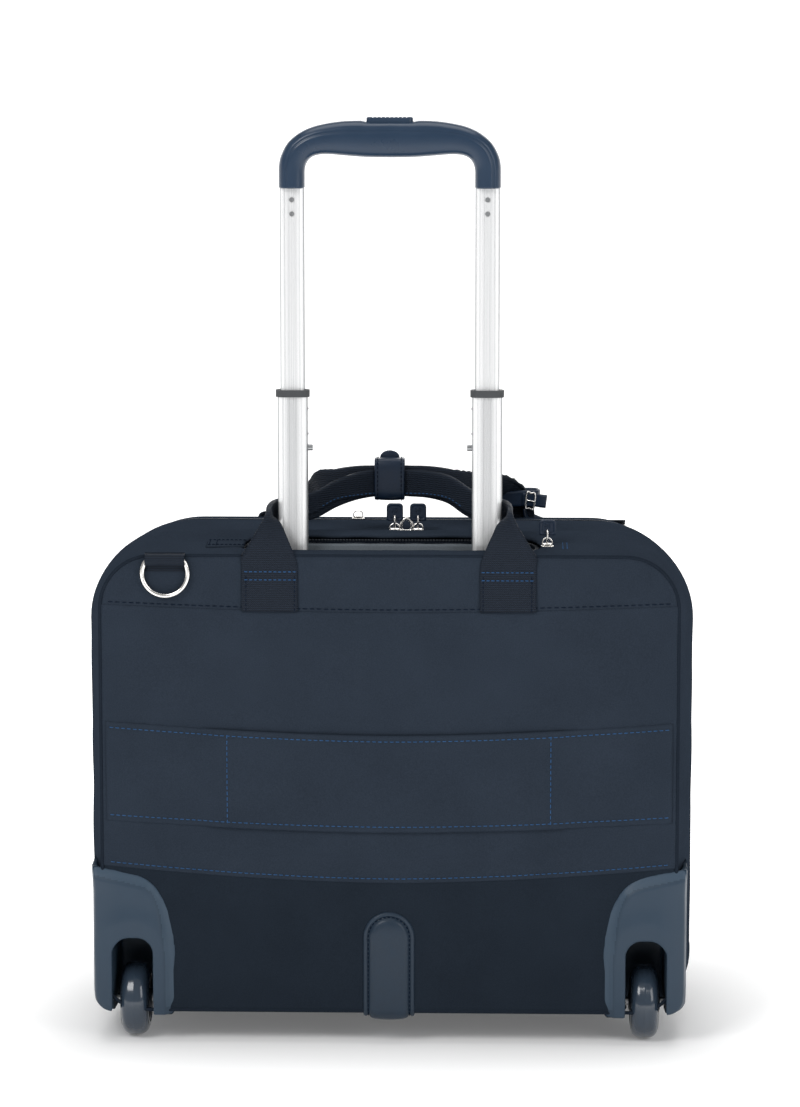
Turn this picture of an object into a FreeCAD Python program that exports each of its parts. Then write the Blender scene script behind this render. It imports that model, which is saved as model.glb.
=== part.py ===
import FreeCAD, Part
import math
import os

from FreeCAD import Placement, Rotation, Vector

# Rolling laptop case: a soft two-compartment case on a pair of corner wheels, with a
# two-stage pull handle, two webbing carry handles and a sleeve that slips over the
# handle of a larger case. Millimetres. The case stands on z = 0, +X is to the right of
# a person looking at its back, -Y is the back (handle side) and +Y is the front.

doc = FreeCAD.newDocument("rolling_laptop_case")

# ---------------------------------------------------------------- driving dimensions

DIMENSIONS = {
    # soft case: rounded rectangles at the back, middle and front, joined by a loft
    "back_plane": 100.0, "front_plane": 89.0, "fabric": 3.0,
    "back_width": 410.0, "back_top": 356.0, "back_bottom": 24.0, "back_round": 38.0,
    "belly_width": 444.0, "belly_top": 363.0, "belly_bottom": 22.0, "belly_round": 58.0,
    "front_width": 414.0, "front_top": 359.0, "front_bottom": 24.0, "front_round": 56.0,
    "base_round": 28.0, "base_seam": 48.0,
    # zips
    "zip_width": 8.0, "main_zip": 21.0, "lid_zip": 62.0, "zip_end": 110.0,
    "slot_length": 216.0, "slot_width": 32.0, "tooth_row": 3.0,
    # pull handle
    "pitch": 139.0, "handle_line": 72.0, "tube_wall": 1.2,
    "upper_width": 17.5, "upper_depth": 9.0, "upper_bottom": 418.0, "upper_top": 617.0,
    "middle_width": 21.6, "middle_depth": 12.6, "middle_bottom": 220.0, "middle_top": 470.0,
    "fixed_width": 25.7, "fixed_depth": 15.9, "fixed_bottom": 34.0, "fixed_top": 278.0,
    "upper_travel": 125.0, "middle_travel": 185.0,
    "pin_height": 431.0, "pin_radius": 2.2, "pin_travel": 5.0, "slot_gap": 5.2,
    "detent_height": 232.0, "detent_radius": 2.5, "detent_travel": 2.0, "rod_radius": 2.0,
    "grip_bottom": 616.8, "grip_depth": 23.0, "grip_leg_depth": 19.0, "button_half": 16.5,
    # wheels and corner guards
    "track": 370.0, "axle_line": 77.0, "wheel_radius": 27.0, "wheel_width": 21.0,
    "hub_radius": 17.0, "axle_radius": 3.0, "axle_gap": 0.05, "guard_skin": 3.6,
    "well_width": 29.0, "well_top": 78.0, "well_front": 42.0, "well_wall": 3.5,
    # webbing, rings and trim
    "webbing": 41.0, "webbing_thick": 1.8, "strap_centre": 84.5, "strap_foot": 317.0,
    "band_low": 157.0, "band_high": 238.0, "band_thick": 1.8, "band_gap": 4.8, "band_half": 116.0,
    "ring_wire": 2.0, "ring_half": 16.0, "ring_x": 159.5, "ring_bar": 353.5,
    "pocket_front": 107.0,
}

sheet = doc.addObject("Spreadsheet::Sheet", "dims")
for row, (alias, number) in enumerate(DIMENSIONS.items(), start=1):
    sheet.set(f"A{row}", alias)
    sheet.set(f"B{row}", str(number))
    sheet.setAlias(f"B{row}", alias)
doc.recompute()


class Dims:
    """Reads the sheet's cells by their alias."""

    def __getattr__(self, alias):
        return float(sheet.get(alias))


D = Dims()
nodes = []


# ------------------------------------------------------------------------- helpers

def node(piece, name):
    """Makes an object one of the case's named pieces."""
    piece.Label = name
    nodes.append(piece)
    return piece


def bind(piece, **sizes):
    """Ties properties of an object to expressions of the sheet's cells."""
    for name, expression in sizes.items():
        piece.setExpression(name, str(expression))
    return piece


def moved(piece, x=0.0, y=0.0, z=0.0, rotation=None):
    piece.Placement = Placement(Vector(x, y, z), rotation or Rotation())
    return piece


def box(name, low, high):
    """Box between two corners."""
    piece = doc.addObject("Part::Box", name)
    piece.Length, piece.Width, piece.Height = (b - a for a, b in zip(low, high))
    return moved(piece, *low)


def rod(name, radius, length, start, direction=Vector(0, 0, 1)):
    """Cylinder whose radius is an expression, from a point along a direction."""
    piece = doc.addObject("Part::Cylinder", name)
    piece.Height = length
    bind(piece, Radius=radius)
    return moved(piece, *start, rotation=Rotation(Vector(0, 0, 1), direction))


def cut(name, base, *tools):
    """Base less each tool in turn."""
    for index, tool in enumerate(tools):
        piece = doc.addObject("Part::Cut", f"{name}_cut{index}")
        piece.Base, piece.Tool = base, tool
        base = piece
    return base


def fuse(name, *pieces):
    piece = doc.addObject("Part::MultiFuse", name)
    piece.Shapes = list(pieces)
    piece.Refine = True
    return piece


def common(name, *pieces):
    piece = doc.addObject("Part::MultiCommon", name)
    piece.Shapes = list(pieces)
    return piece


def mirrored(name, piece):
    """The same piece on the other side of the case's middle plane."""
    copy = doc.addObject("Part::Mirroring", name)
    copy.Source = piece
    copy.Normal = Vector(1, 0, 0)
    return copy


def pair(name, piece):
    """A left piece and its mirror image, kept as separate solids of one node."""
    both = doc.addObject("Part::Compound", name)
    both.Links = [piece, mirrored(f"{name}_right", piece)]
    return node(both, name)


def solid(name, shape):
    piece = doc.addObject("Part::Feature", name)
    piece.Shape = shape
    return piece


def origin_plane(body, role):
    return next(item for item in body.Origin.OriginFeatures if item.Role == role)


def new_sketch(body, name, role, offset=0.0):
    """Sketch on one of the body's own origin planes, moved along the plane's normal."""
    sketch = body.newObject("Sketcher::SketchObject", name)
    sketch.AttachmentSupport = (origin_plane(body, role), [""])
    sketch.MapMode = "FlatFace"
    sketch.AttachmentOffset = Placement(Vector(0, 0, offset), Rotation())
    return sketch


def outline(sketch, corners):
    """Closed outline through (x, y, radius) corners, each rounded by a tangent arc."""
    ends = []
    count = len(corners)
    for index, (x, y, radius) in enumerate(corners):
        here = Vector(x, y, 0)
        before = (Vector(*corners[index - 1][:2], 0) - here).normalize()
        after = (Vector(*corners[(index + 1) % count][:2], 0) - here).normalize()
        if radius <= 0:
            ends.append((here, None, here))
            continue
        half = before.getAngle(after) / 2
        reach = radius / math.tan(half)
        inward = (before + after).normalize()
        middle = here + inward * (radius / math.sin(half) - radius)
        ends.append((here + before * reach, middle, here + after * reach))
    for index, (start, middle, stop) in enumerate(ends):
        if middle:
            sketch.addGeometry(Part.Arc(start, middle, stop), False)
        following = ends[(index + 1) % count][0]
        if (following - stop).Length > 1e-6:
            sketch.addGeometry(Part.LineSegment(stop, following), False)


def prism(name, role, corners, length, offset=0.0, both_ways=False):
    """Body padded from a rounded outline; length is an expression or a number."""
    body = doc.addObject("PartDesign::Body", name)
    sketch = new_sketch(body, f"{name}_outline", role, offset)
    outline(sketch, corners)
    pad = body.newObject("PartDesign::Pad", f"{name}_pad")
    pad.Profile = sketch
    pad.Midplane = both_ways
    bind(pad, Length=length)
    sketch.Visibility = False
    return body


def revolved(name, corners, start_x, radius_axis_y, radius_axis_z):
    """Body turned about a line along X from a half section of (x, radius, round) corners."""
    body = doc.addObject("PartDesign::Body", name)
    sketch = new_sketch(body, f"{name}_section", "XY_Plane")
    outline(sketch, corners)
    turn = body.newObject("PartDesign::Revolution", f"{name}_turn")
    turn.Profile = sketch
    turn.ReferenceAxis = (sketch, ["H_Axis"])
    turn.Angle = 360
    sketch.Visibility = False
    return moved(body, start_x, radius_axis_y, radius_axis_z)


def rounded_box(name, low, high, radius, role="XY_Plane"):
    """Body with four rounded edges: an outline on one plane, padded across it."""
    (x0, y0, z0), (x1, y1, z1) = low, high
    spans = {"XY_Plane": ((x0, y0), (x1, y1), z0, z1 - z0),
             "XZ_Plane": ((x0, z0), (x1, z1), -y1, y1 - y0),
             "YZ_Plane": ((y0, z0), (y1, z1), x0, x1 - x0)}
    (a0, b0), (a1, b1), offset, length = spans[role]
    corners = [(a0, b0, radius), (a1, b0, radius), (a1, b1, radius), (a0, b1, radius)]
    return prism(name, role, corners, length, offset)


def tube_outline(x, y, width, depth, radius):
    return [(x + sx * width / 2, y + sy * depth / 2, radius)
            for sx, sy in ((-1, -1), (1, -1), (1, 1), (-1, 1))]


# ------------------------------------------------------------------- the soft case

def case_form(name, inset):
    """Solid outer form of the case, or with an inset the room inside its fabric."""
    stations = [
        (-D.back_plane, D.back_width, D.back_bottom, D.back_top, D.back_round),
        (0.0, D.belly_width, D.belly_bottom, D.belly_top, D.belly_round),
        (D.front_plane, D.front_width, D.front_bottom, D.front_top, D.front_round),
    ]
    body = doc.addObject("PartDesign::Body", name)
    sketches = []
    for index, (y, width, low, high, top_round) in enumerate(stations):
        place = y + inset * (1 - index)
        sketch = new_sketch(body, f"{name}_section{index}", "XZ_Plane", -place)
        half = width / 2 - inset
        outline(sketch, [(-half, low + inset, D.base_round - inset), (half, low + inset, D.base_round - inset),
                         (half, high - inset, top_round - inset), (-half, high - inset, top_round - inset)])
        sketch.Visibility = False
        sketches.append(sketch)
    loft = body.newObject("PartDesign::AdditiveLoft", f"{name}_loft")
    loft.Profile = sketches[0]
    loft.Sections = sketches[1:]
    return body


outer_form = case_form("outer_form", 0.0)
inner_form = case_form("inner_form", D.fabric)
skin_form = case_form("skin_form", -D.guard_skin)
walls = cut("case_walls", outer_form, inner_form)
doc.recompute()

FAR = 400.0
half_track = D.track / 2
tube_x = D.pitch / 2
tube_y = -D.handle_line


def case_height(y, x=0.0):
    """Height of the case's top at a depth."""
    line = Part.makeLine(Vector(x, y, 200), Vector(x, y, FAR))
    return line.common(outer_form.Shape).BoundBox.ZMax


def slab(name, y0, y1, z0=-10.0, z1=FAR):
    """Region of the case between two depths and two heights."""
    return box(name, (-FAR, y0, z0), (FAR, y1, z1))


# the wheel housings pass through the fabric, so the walls are cut round them
def housing_block(name):
    wall = D.well_wall
    half = D.well_width / 2 + wall
    return box(name, (-half_track - half, -D.back_plane - 20, 5.0),
               (-half_track + half, -D.well_front + wall, D.well_top + wall))


housing_left = housing_block("housing_block")
housing_right = mirrored("housing_block_right", housing_left)

zip_half = D.zip_width / 2
rear_seam, lid_seam = -D.main_zip - zip_half, D.lid_zip - zip_half
inner_back = -D.back_plane + D.fabric

top_slot = prism("top_slot", "XY_Plane",
                 tube_outline(0, tube_y, D.slot_length, D.slot_width, D.slot_width / 2 - 0.5),
                 80, 320)
main_zip_region = slab("main_zip_region", rear_seam, rear_seam + D.zip_width, D.zip_end)
lid_zip_region = slab("lid_zip_region", lid_seam, lid_seam + D.zip_width, D.zip_end)

node(cut("back_panel", common("back_panel_sheet", walls, slab("back_region", -FAR, inner_back)),
         housing_left, housing_right), "back_panel")
base = common("base_sheet", walls, slab("base_region", inner_back, lid_seam + D.zip_width, -10, D.base_seam))
node(cut("base_panel", base, housing_left, housing_right), "base_panel")
rear_wall = common("rear_wall", walls, slab("rear_region", inner_back, -D.main_zip, D.base_seam))
node(cut("rear_gusset", rear_wall, main_zip_region, top_slot, housing_left, housing_right), "rear_gusset")
front_wall = common("front_wall", walls,
                    slab("front_region", -D.main_zip, D.lid_zip, D.base_seam))
node(cut("front_gusset", front_wall, main_zip_region, lid_zip_region), "front_gusset")
lid_region = fuse("lid_region", slab("lid_sides", D.lid_zip, lid_seam + D.zip_width, D.base_seam),
                  slab("lid_face", lid_seam + D.zip_width, FAR))
lid_wall = common("lid_wall", walls, lid_region)
node(cut("front_panel", lid_wall, lid_zip_region), "front_panel")
node(common("main_zip_band", walls, main_zip_region), "main_zip_chain")
node(common("lid_zip_band", walls, lid_zip_region), "lid_zip_chain")

# two rows of teeth round the handle slot
row_outer = tube_outline(0, tube_y, D.slot_length, D.slot_width, D.slot_width / 2 - 0.5)
row_inner = tube_outline(0, tube_y, D.slot_length - 2 * D.tooth_row, D.slot_width - 2 * D.tooth_row,
                         D.slot_width / 2 - 0.5 - D.tooth_row)
slot_top = case_height(tube_y)
rows = cut("handle_zip", prism("zip_rows", "XY_Plane", row_outer, 2.2, slot_top - 2.4),
           prism("zip_gap", "XY_Plane", row_inner, 6, slot_top - 4))
node(rows, "handle_zip_chain")

# inside: a lined wall that closes off the handle, a padded sleeve and a base board
divider_back = tube_y + D.slot_width / 2 + 1.5
divider_sheet = common("divider_sheet", inner_form, slab("divider_region", divider_back, divider_back + 2))
node(cut("divider", divider_sheet, housing_left, housing_right), "divider_wall")
sleeve_back = divider_back + 2
sleeve_half, sleeve_low, sleeve_high = 186.0, 84.0, 300.0
sleeve = cut("sleeve", rounded_box("sleeve_block", (-sleeve_half, sleeve_back, sleeve_low),
                                   (sleeve_half, sleeve_back + 29, sleeve_high), 12, "XZ_Plane"),
             rounded_box("sleeve_room", (-sleeve_half + 4, sleeve_back - 1, sleeve_low + 4),
                         (sleeve_half - 4, sleeve_back + 26, sleeve_high + 40), 9, "XZ_Plane"))
node(sleeve, "laptop_sleeve")
board = rounded_box("board_sheet", (-188, sleeve_back, 27.5), (188, D.front_plane - 9, 30), 20)
node(cut("board", board, housing_left, housing_right), "base_board")

# front pocket: a shallow hollow pad on the front panel, open along its top
pocket_wall = 2.5
pocket_shell = prism("pocket_shell", "XZ_Plane",
                     [(-172, 52, 30), (172, 52, 30), (172, 276, 22), (-172, 276, 22)],
                     D.pocket_front - D.front_plane, -D.pocket_front)
pocket_room = prism("pocket_room", "XZ_Plane",
                    [(-169.5, 54.5, 27), (169.5, 54.5, 27), (169.5, 300, 5), (-169.5, 300, 5)],
                    D.pocket_front - D.front_plane - pocket_wall + 1, -D.pocket_front + pocket_wall)
node(cut("pocket", pocket_shell, pocket_room), "front_pocket")

# sleeve band across the back: sewn down at its ends, standing off between them
band_rear = -D.back_plane - D.band_gap - D.band_thick
band_step = 16.0
band_half = D.band_half
band_corners = [(-203, -D.back_plane, 0), (-203, -D.back_plane - D.band_thick, 0),
                (-band_half - band_step, -D.back_plane - D.band_thick, 20), (-band_half, band_rear, 20),
                (band_half, band_rear, 20), (band_half + band_step, -D.back_plane - D.band_thick, 20),
                (203, -D.back_plane - D.band_thick, 0), (203, -D.back_plane, 0),
                (band_half + band_step, -D.back_plane, 18), (band_half, band_rear + D.band_thick, 18),
                (-band_half, band_rear + D.band_thick, 18), (-band_half - band_step, -D.back_plane, 18)]
node(prism("band", "XY_Plane", band_corners, "dims.band_high - dims.band_low", D.band_low), "luggage_band")


# ------------------------------------------------------------ corner guards and wheels

def corner_guard():
    """Moulded guard over the left rear corner: a thin skin outside the fabric and a
    wheel housing through it."""
    face = [(-260, 141, 0), (-172, 121.5, 30), (-157, 96, 40), (-154.5, 66, 40),
            (-154.5, 10, 0), (-260, 10, 0)]
    patch = prism("guard_patch", "XZ_Plane", face, 80, 30)
    skin = cut("guard_skin", common("guard_sheet", skin_form, patch), outer_form)
    housing = common("housing", housing_left, skin_form)
    well_half = D.well_width / 2
    well = prism("wheel_well", "XZ_Plane",
                 [(-half_track - well_half, -20, 0), (-half_track + well_half, -20, 0),
                  (-half_track + well_half, D.well_top, 12), (-half_track - well_half, D.well_top, 12)],
                 100, D.well_front)
    bore = rod("axle_bore", "dims.axle_radius", 60, (-half_track - 30, -D.axle_line, D.wheel_radius),
               Vector(1, 0, 0))
    return cut("guard", fuse("guard_whole", skin, housing), well, bore)


guard_left = node(corner_guard(), "corner_guard_left")
node(mirrored("guard_mirror", guard_left), "corner_guard_right")
axle_half = D.well_width / 2 + 2.5
pair("wheel_axles", rod("axle", "dims.axle_radius", 2 * axle_half,
                        (-half_track - axle_half, -D.axle_line, D.wheel_radius), Vector(1, 0, 0)))

hub_half, web_half, boss = 11.5, 8.0, 8.0
tyre_half, tyre_round = D.wheel_width / 2, 7.9
hub_bore = D.axle_radius + D.axle_gap
for side, sign in (("left", -1), ("right", 1)):
    place = (sign * half_track, -D.axle_line, D.wheel_radius)
    hub = [(-hub_half, hub_bore, 0), (hub_half, hub_bore, 0), (hub_half, boss - 1, 1), (web_half, boss, 1),
           (web_half, D.hub_radius, 0), (-web_half, D.hub_radius, 0), (-web_half, boss, 1), (-hub_half, boss - 1, 1)]
    tyre = [(-web_half, D.hub_radius, 0), (web_half, D.hub_radius, 0), (tyre_half, D.hub_radius + 1, 1),
            (tyre_half, D.wheel_radius, tyre_round), (-tyre_half, D.wheel_radius, tyre_round),
            (-tyre_half, D.hub_radius + 1, 1)]
    node(revolved(f"hub_{side}_body", hub, *place), f"hub_{side}")
    node(revolved(f"tyre_{side}_body", tyre, *place), f"tyre_{side}")

foot = cut("foot", rounded_box("foot_post", (-166, 48, 0), (-134, 74, 40), 6), outer_form)
pair("front_feet", foot)

pad_face = [(-18.5, 20.5, 3), (18.5, 20.5, 3), (18.5, 97.5, 18), (-18.5, 97.5, 18)]
pad = fuse("kick", prism("kick_face", "XZ_Plane", pad_face, 20, D.back_plane - 15.2),
           rounded_box("kick_wrap", (-18.5, -D.back_plane - 3, 20.5), (18.5, -55, 30), 3, "YZ_Plane"))
node(cut("kick_trim", pad, outer_form), "kick_pad")


# ------------------------------------------------------------------ pull handle tubes

def tube(name, width, depth, low, high, radius, groove=0.35):
    """Left flat-oval tube: its outside, and what is cut from it to make it hollow with a
    shallow groove and a line down its rear face."""
    wall = D.tube_wall
    across, deep = getattr(D, width), getattr(D, depth)
    height = f"dims.{high} - dims.{low}"
    shell = prism(f"{name}_outer", "XY_Plane", tube_outline(-tube_x, tube_y, across, deep, radius), height,
                  getattr(D, low))
    room = prism(f"{name}_room", "XY_Plane",
                 tube_outline(-tube_x, tube_y, across - 2 * wall, deep - 2 * wall, radius - wall),
                 FAR, getattr(D, low) - 10)
    rear = tube_y - deep / 2
    band = box(f"{name}_groove", (-tube_x - 2.6, rear - 1, getattr(D, low) - 1),
               (-tube_x + 2.6, rear + groove, getattr(D, high) + 1))
    line = box(f"{name}_line", (-tube_x - across / 2 + 3.6, rear - 1, getattr(D, low) - 1),
               (-tube_x - across / 2 + 4.2, rear + groove, getattr(D, high) + 1))
    return shell, [room, band, line]


def pin_slot(name, low, high):
    """Lengthwise slot in the inner side of the left tube."""
    half = D.slot_gap / 2
    return box(name, (-tube_x + 5.5, tube_y - half, low), (-tube_x + 16, tube_y + half, high))


upper_shell, upper_tools = tube("upper", "upper_width", "upper_depth", "upper_bottom", "upper_top", 3.6)
pin_hole = rod("pin_hole", "dims.slot_gap / 2", 12, (-tube_x + 5.5, tube_y, D.pin_height), Vector(1, 0, 0))
pair("upper_tubes", cut("upper_tube", upper_shell, *upper_tools, pin_hole))
pin_gap = 3.0
middle_shell, middle_tools = tube("middle", "middle_width", "middle_depth", "middle_bottom", "middle_top", 4.8)
detent_hole = rod("detent_hole", "dims.detent_radius + 0.1", 12, (-tube_x + 5.5, tube_y, D.detent_height),
                  Vector(1, 0, 0))
pair("middle_tubes", cut("middle_tube", middle_shell, *middle_tools, detent_hole,
                         pin_slot("middle_slot", D.pin_height - D.upper_travel - pin_gap, D.pin_height + pin_gap)))
fixed_shell, fixed_tools = tube("fixed", "fixed_width", "fixed_depth", "fixed_bottom", "fixed_top", 6.0)
lowest_pin = D.pin_height - D.upper_travel - D.middle_travel - pin_gap
fixed_slot = pin_slot("fixed_slot", lowest_pin, FAR)
pair("fixed_tubes", cut("fixed_tube", fixed_shell, *fixed_tools, fixed_slot))


def collar(name, top, lip, outer, hole, skirt):
    """Left collar: a lip over the tube's end and a skirt round its outside."""
    (wide, deep), (hole_wide, hole_deep), (skirt_wide, skirt_deep) = outer, hole, skirt
    skirt = 2.4
    block = prism(f"{name}_block", "XY_Plane", tube_outline(-tube_x, tube_y, wide, deep, 6), lip + skirt,
                  top - skirt)
    opening = prism(f"{name}_opening", "XY_Plane", tube_outline(-tube_x, tube_y, hole_wide, hole_deep, 3.8),
                    20, top - 10)
    seat = prism(f"{name}_seat", "XY_Plane", tube_outline(-tube_x, tube_y, skirt_wide, skirt_deep, 4.8),
                 20, top - 20)
    return cut(name, block, opening, seat)


pair("middle_collars", collar("middle_collar", D.middle_top, 2.5, (D.middle_width + 2.6, D.middle_depth + 2.6),
                              (D.upper_width + 0.7, D.upper_depth + 0.7), (D.middle_width, D.middle_depth)))
fixed_collar = collar("fixed_collar", D.fixed_top, 4, (D.fixed_width + 3, D.fixed_depth + 3),
                      (D.fixed_width - 2.4, D.fixed_depth - 2.4), (D.fixed_width, D.fixed_depth))
pair("fixed_collars", cut("fixed_collar_open", fixed_collar, fixed_slot))


def tube_block(name, x, low, high, clear):
    """Plate that ties the two fixed tubes together, with the tubes' seats cut out."""
    plate = rounded_box(name, (-x, tube_y - 11, low), (x, tube_y + 11, high), 5)
    seat = prism(f"{name}_seat", "XY_Plane", tube_outline(-tube_x, tube_y, D.fixed_width, D.fixed_depth, 6),
                 60, clear)
    slot = pin_slot(f"{name}_slot", clear, clear + 60)
    return cut(f"{name}_cut", plate, seat, mirrored(f"{name}_seat_right", seat), slot,
               mirrored(f"{name}_slot_right", slot))


node(tube_block("top_tie", 92, 258, 270, 240), "tube_top_bracket")
base_plate = tube_block("base_tie", 96, 27.5, 46, D.fixed_bottom)
screw_spots = [(x, tube_y) for x in (-40, 0, 40)]
plate_holes = [rod(f"plate_hole{index}", 2.0, 30, (x, y, 20)) for index, (x, y) in enumerate(screw_spots)]
node(cut("base_tie_drilled", base_plate, *plate_holes), "tube_base_bracket")
screws = []
for index, (x, y) in enumerate(screw_spots):
    shank = rod(f"screw_shank{index}", 2.0, 18.5, (x, y, 27.5))
    head = rod(f"screw_head{index}", 4.0, 2.2, (x, y, 46))
    screws.append(fuse(f"screw{index}", shank, head))
screw_set = doc.addObject("Part::Compound", "screws")
screw_set.Links = screws
node(screw_set, "bracket_screws")

dome_radius = 1.5
dome_sink = 0.9
domes = []
for index, height in enumerate((441.0, 459.0)):
    ball = doc.addObject("Part::Sphere", f"dome{index}")
    ball.Radius = dome_radius
    moved(ball, -tube_x + D.middle_width / 2 - dome_sink, tube_y, height)
    domes.append(cut(f"dome_cap{index}", ball, box(f"dome_trim{index}", (-200, -200, height - 5),
                                                   (-tube_x + D.middle_width / 2, 0, height + 5))))
dome_pair = doc.addObject("Part::Compound", "domes")
dome_pair.Links = domes
pair("guide_rivets", dome_pair)


# -------------------------------------------------------------- plugs, pins and detents

def plug(name, across, deep, radius, low, high, bore_height, bore_radius, well):
    """Solid end of a tube, bored across for its pin and down its middle."""
    block = prism(f"{name}_block", "XY_Plane", tube_outline(-tube_x, tube_y, across, deep, radius),
                  high - low, low)
    bore = rod(f"{name}_bore", bore_radius, 20, (-tube_x - 2.5, tube_y, bore_height), Vector(1, 0, 0))
    drop = rod(f"{name}_well", well, 40, (-tube_x, tube_y, bore_height))
    return cut(name, block, bore, drop)


upper_plug = plug("upper_plug", D.upper_width - 2 * D.tube_wall, D.upper_depth - 2 * D.tube_wall, 2.4,
                  D.upper_bottom, D.pin_height + 14, D.pin_height, D.pin_radius + 0.05, 2.6)
pin_back_room = box("pin_room", (-tube_x - 6, tube_y - 2.6, D.pin_height - 2.6),
                    (-tube_x, tube_y + 2.6, D.pin_height + 2.6))
pair("upper_plugs", cut("upper_plug_open", upper_plug, pin_back_room))
middle_plug = plug("middle_plug", D.middle_width - 2 * D.tube_wall, D.middle_depth - 2 * D.tube_wall, 3.6,
                   D.middle_bottom, D.detent_height + 12, D.detent_height, D.detent_radius + 0.05, 3.0)
pair("middle_plugs", middle_plug)
inner_side = D.middle_width / 2
for side, sign in (("left", 1), ("right", -1)):
    facing = Vector(sign, 0, 0)
    reach = D.upper_width / 2 + 5.5
    pin = rod(f"pin_{side}", "dims.pin_radius", reach + 0.5, (-sign * (tube_x + 0.5), tube_y, D.pin_height), facing)
    node(pin, f"lock_pin_{side}")
    tip = rod(f"detent_{side}", "dims.detent_radius", 7,
              (-sign * (tube_x - inner_side + 6.5), tube_y, D.detent_height), facing)
    node(tip, f"detent_pin_{side}")


# -------------------------------------------------------------------- grip and release

def grip_outline():
    """Arch of the grip, seen from the back: rounded shoulders and a finger swell."""
    low, leg_out, leg_in = D.grip_bottom, 78.8, 60.4
    outside = [(-leg_out, low, 0), (-leg_out, 640, 12), (-70, 659.5, 22), (-34, 664.6, 70),
               (34, 664.6, 70), (70, 659.5, 22), (leg_out, 640, 12), (leg_out, low, 0)]
    inside = [(leg_in, low, 0), (leg_in - 0.4, 640.8, 13), (40, 640.2, 14), (14, 637.6, 60),
              (-14, 637.6, 60), (-40, 640.2, 14), (-leg_in + 0.4, 640.8, 13), (-leg_in, low, 0)]
    return outside + inside


half_leg, half_grip = D.grip_leg_depth / 2, D.grip_depth / 2
grip_plan = [(-FAR, tube_y - half_leg, 0), (-62, tube_y - half_leg, 40), (-30, tube_y - half_grip, 40),
             (30, tube_y - half_grip, 40), (62, tube_y - half_leg, 40), (FAR, tube_y - half_leg, 0),
             (FAR, tube_y + half_leg, 0), (62, tube_y + half_leg, 40), (30, tube_y + half_grip, 40),
             (-30, tube_y + half_grip, 40), (-62, tube_y + half_leg, 40), (-FAR, tube_y + half_leg, 0)]
arch = prism("grip_arch", "XZ_Plane", grip_outline(), 60, D.handle_line, both_ways=True)
grip_block = common("grip_block", arch, prism("grip_plan", "XY_Plane", grip_plan, 200, 560))


def softened(name, base, radius, keep):
    """Base with a rounded edge wherever the test on the edge's box holds."""
    doc.recompute()
    soft = doc.addObject("Part::Fillet", name)
    soft.Base = base
    chosen = [i for i, edge in enumerate(base.Shape.Edges, start=1) if keep(edge)]
    soft.Edges = [(i, radius, radius) for i in chosen]
    return soft


def runs_along_arch(edge):
    bounds = edge.BoundBox
    return bounds.ZMax > D.grip_bottom + 0.5 and bounds.YLength < 20 and abs(bounds.Center.y - tube_y) > 2


grip_soft = softened("grip_soft", grip_block, 6.0, runs_along_arch)
channel_low, channel_high, bar_half = 642.5, 652.6, 71.8
bar_low = 646.0
button_deep = 5.5
channel = box("bar_channel", (-bar_half - 0.4, tube_y - 4, channel_low),
              (bar_half + 0.4, tube_y + 4, channel_high))
button_hole = box("button_hole", (-D.button_half - 0.5, tube_y - button_deep - 0.5, 648.4),
                  (D.button_half + 0.5, tube_y + button_deep + 0.5, 680))
spring_well = rod("spring_well", 3.4, 4, (0, tube_y, channel_low - 2))
spigot = prism("spigot", "XY_Plane", tube_outline(-tube_x, tube_y, D.upper_width - 2 * D.tube_wall,
                                                  D.upper_depth - 2 * D.tube_wall, 2.4), 29.8, 588)
rod_way = rod("rod_way", 2.6, 80, (-tube_x, tube_y, 580))
leg_cap = box("leg_cap", (-100, tube_y - 30, D.grip_bottom), (100, tube_y + 30, D.upper_top))
seats = [spigot, mirrored("spigot_right", spigot)]
whole_grip = fuse("whole_grip", grip_soft, *seats)
tube_ends = cut("tube_ends", leg_cap, *seats)
hollow_grip = cut("hollow_grip", whole_grip, tube_ends, channel, button_hole, spring_well, rod_way,
                  mirrored("rod_way_right", rod_way))
cover_low = 656.0
cover_region = box("cover_region", (-58, tube_y - 30, cover_low), (58, tube_y + 30, 700))
node(cut("grip_lower", hollow_grip, cover_region), "grip_body")
node(common("grip_upper", hollow_grip, cover_region), "grip_cover")

button_low, button_top = 652.0, 666.4
key = softened("button_soft", rounded_box("button_block", (-D.button_half, tube_y - button_deep, button_low),
                                          (D.button_half, tube_y + button_deep, button_top), 3),
               1.2, lambda edge: edge.BoundBox.ZMin > button_top - 0.1)
ribs = [box(f"rib{index}", (x - 0.45, tube_y - 20, button_top - 0.5), (x + 0.45, tube_y + 20, button_top + 1))
        for index, x in enumerate(range(-12, 13, 3))]
node(cut("button_key", key, *ribs), "release_button")
rod_low = 441.0
bar = fuse("bar", box("bar_beam", (-bar_half, tube_y - 2.4, bar_low), (bar_half, tube_y + 2.4, button_low)),
           rod("left_rod", "dims.rod_radius", bar_low + 1 - rod_low, (-tube_x, tube_y, rod_low)),
           rod("right_rod", "dims.rod_radius", bar_low + 1 - rod_low, (tube_x, tube_y, rod_low)))
node(bar, "release_bar")

spring_low, spring_radius, wire = channel_low - 2, 2.2, 0.35
coil = Part.makeHelix(1.4, bar_low - spring_low - 2 * wire, spring_radius)
coil_start = Part.Wire(Part.makeCircle(wire, Vector(spring_radius, 0, 0), Vector(0, 1, 0)))
spring = Part.Wire(coil).makePipeShell([coil_start], True, True)
node(moved(solid("spring", spring), 0, tube_y, spring_low + wire), "button_spring")

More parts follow.
